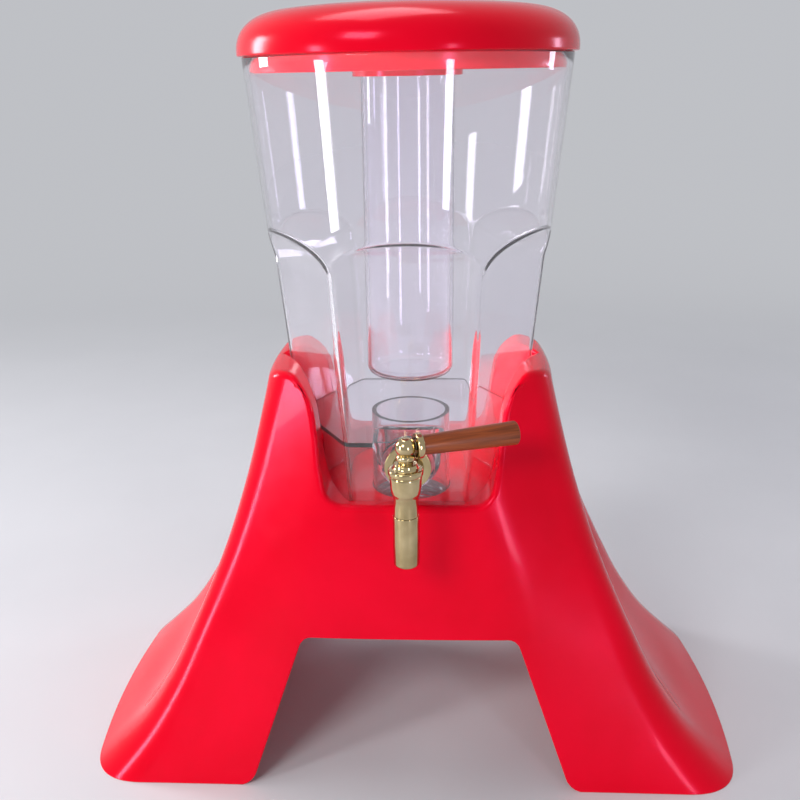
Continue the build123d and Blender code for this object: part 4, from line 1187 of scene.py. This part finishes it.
def studio_world():
    """World that lights the object dimly and shows the even tone."""
    world = bpy.data.worlds.new("studio")
    world.use_nodes = True
    tree = world.node_tree
    light, shown = tree.nodes["Background"], tree.nodes.new("ShaderNodeBackground")
    light.inputs["Color"].default_value = (0.95, 0.95, 1.0, 1)
    light.inputs["Strength"].default_value = WORLD_LIGHT
    shown.inputs["Color"].default_value = BACKGROUND
    mix = tree.nodes.new("ShaderNodeMixShader")
    tree.links.new(seen_directly(tree), mix.inputs["Fac"])
    tree.links.new(light.outputs["Background"], mix.inputs[1])
    tree.links.new(shown.outputs["Background"], mix.inputs[2])
    tree.links.new(mix.outputs["Shader"], tree.nodes["World Output"].inputs["Surface"])
    return world


bpy.context.scene.world = studio_world()
bpy.context.scene.view_settings.view_transform = "Standard"
print("world and background tone ready")

# %% [markdown]
# A sheet that bends up through a wide quarter circle leaves no line between the floor and the backdrop.
# It could be a plane and an even world instead, but then the horizon would show in the clear tank.


# %% Floor and backdrop
def sweep_sheet(width, front, back, height, bend):
    """Floor that turns up into a wall through a quarter circle."""
    a = np.linspace(0, math.pi / 2, 16)
    y = np.concatenate([[front], back - bend + bend * np.sin(a), [back]])
    z = np.concatenate([[0], bend - bend * np.cos(a), [height]])
    x = np.array([-width, width])[None, :]
    return (np.stack([x + 0 * y[:, None], y[:, None] + 0 * x, z[:, None] + 0 * x], -1), False, False)


stage_mesh = mesh_from("studio_sweep", [sweep_sheet(3500, -2500, 1900, 2600, 700)])
stage_mesh.materials.append(studio_floor())
stage = bpy.data.objects.new("studio_sweep", stage_mesh)
bpy.context.scene.collection.objects.link(stage)

# %% [markdown]
# Area lamps are soft, and glossy plastic shows their shape: tall narrow ones at the sides draw the long
# highlights on the legs and the tank, and the broad ones in front and above light the whole evenly.


# %% Lights
def soft_light(name, at, size, power, colour=(1, 1, 1), aim=(0, 0, 0.22)):
    """Rectangular lamp at a point in metres, turned towards another."""
    lamp = bpy.data.lights.new(name, "AREA")
    lamp.shape, lamp.size, lamp.size_y = "RECTANGLE", *size
    lamp.energy, lamp.color = power, colour
    holder = bpy.data.objects.new(name, lamp)
    holder.location = at
    holder.rotation_euler = (Vector(aim) - Vector(at)).to_track_quat("-Z", "Y").to_euler()
    bpy.context.scene.collection.objects.link(holder)
    return holder


soft_light("window_left", (-0.9, -0.6, 0.28), (0.13, 0.5), 4.5, (1.0, 0.97, 0.99))
soft_light("window_front_right", (0.55, -1.0, 0.25), (0.1, 0.45), 2.0, (0.9, 0.87, 1.0))
soft_light("window_behind_left", (-1.45, 0.5, 0.66), (0.3, 0.6), 10, (1.0, 0.97, 1.0))
soft_light("window_behind_right", (1.5, 0.6, 0.5), (0.2, 0.4), 2.5, (0.85, 0.8, 1.0))
soft_light("window_front", (-0.9, -1.6, 1.4), (0.7, 0.6), 18)
soft_light("panel_above", (-0.2, 0.25, 1.7), (0.9, 0.7), 9)
print("lights ready")

# %% [markdown]
# The camera stands a little to the right of the middle, level with the tank's rim, and looks down at the
# tap. Its axes follow from a turn about the upright, a downward pitch and a slight roll.

# %% Camera
TURN, PITCH, ROLL = -0.0587, 0.3376, -0.0197
CAMERA_SIDE, CAMERA_BACK, CAMERA_Z = -18.6, 605.2, 448.9     # from the tank's axis, along the turned axes
FOCAL_PIXELS, CENTRE_X, IMAGE = 937.45, 383.4, 800           # focal length, middle and width in pixels
c, s = math.cos(TURN), math.sin(TURN)
right, level_ahead = np.array([c, -s, 0]), np.array([s, c, 0])
ahead = level_ahead * math.cos(PITCH) - np.array([0, 0, math.sin(PITCH)])
up = level_ahead * math.sin(PITCH) + np.array([0, 0, math.cos(PITCH)])
rolled_right = right * math.cos(ROLL) + up * math.sin(ROLL)
rolled_up = up * math.cos(ROLL) - right * math.sin(ROLL)
position = right * CAMERA_SIDE - level_ahead * CAMERA_BACK + np.array([0, 0, CAMERA_Z])
lens = bpy.data.cameras.new("camera")
lens.sensor_width = 36.0
lens.lens = FOCAL_PIXELS * lens.sensor_width / IMAGE
lens.shift_x = (IMAGE / 2 - CENTRE_X) / IMAGE
camera = bpy.data.objects.new("camera", lens)
axes = np.eye(4)
axes[:3, :3] = np.stack([rolled_right, rolled_up, -ahead], 1)
axes[:3, 3] = (position + AXIS) * MM
camera.matrix_world = Matrix(axes.tolist())
bpy.context.scene.collection.objects.link(camera)
bpy.context.scene.camera = camera
print("camera at", axes[:3, 3].round(3), "lens", round(lens.lens, 1))
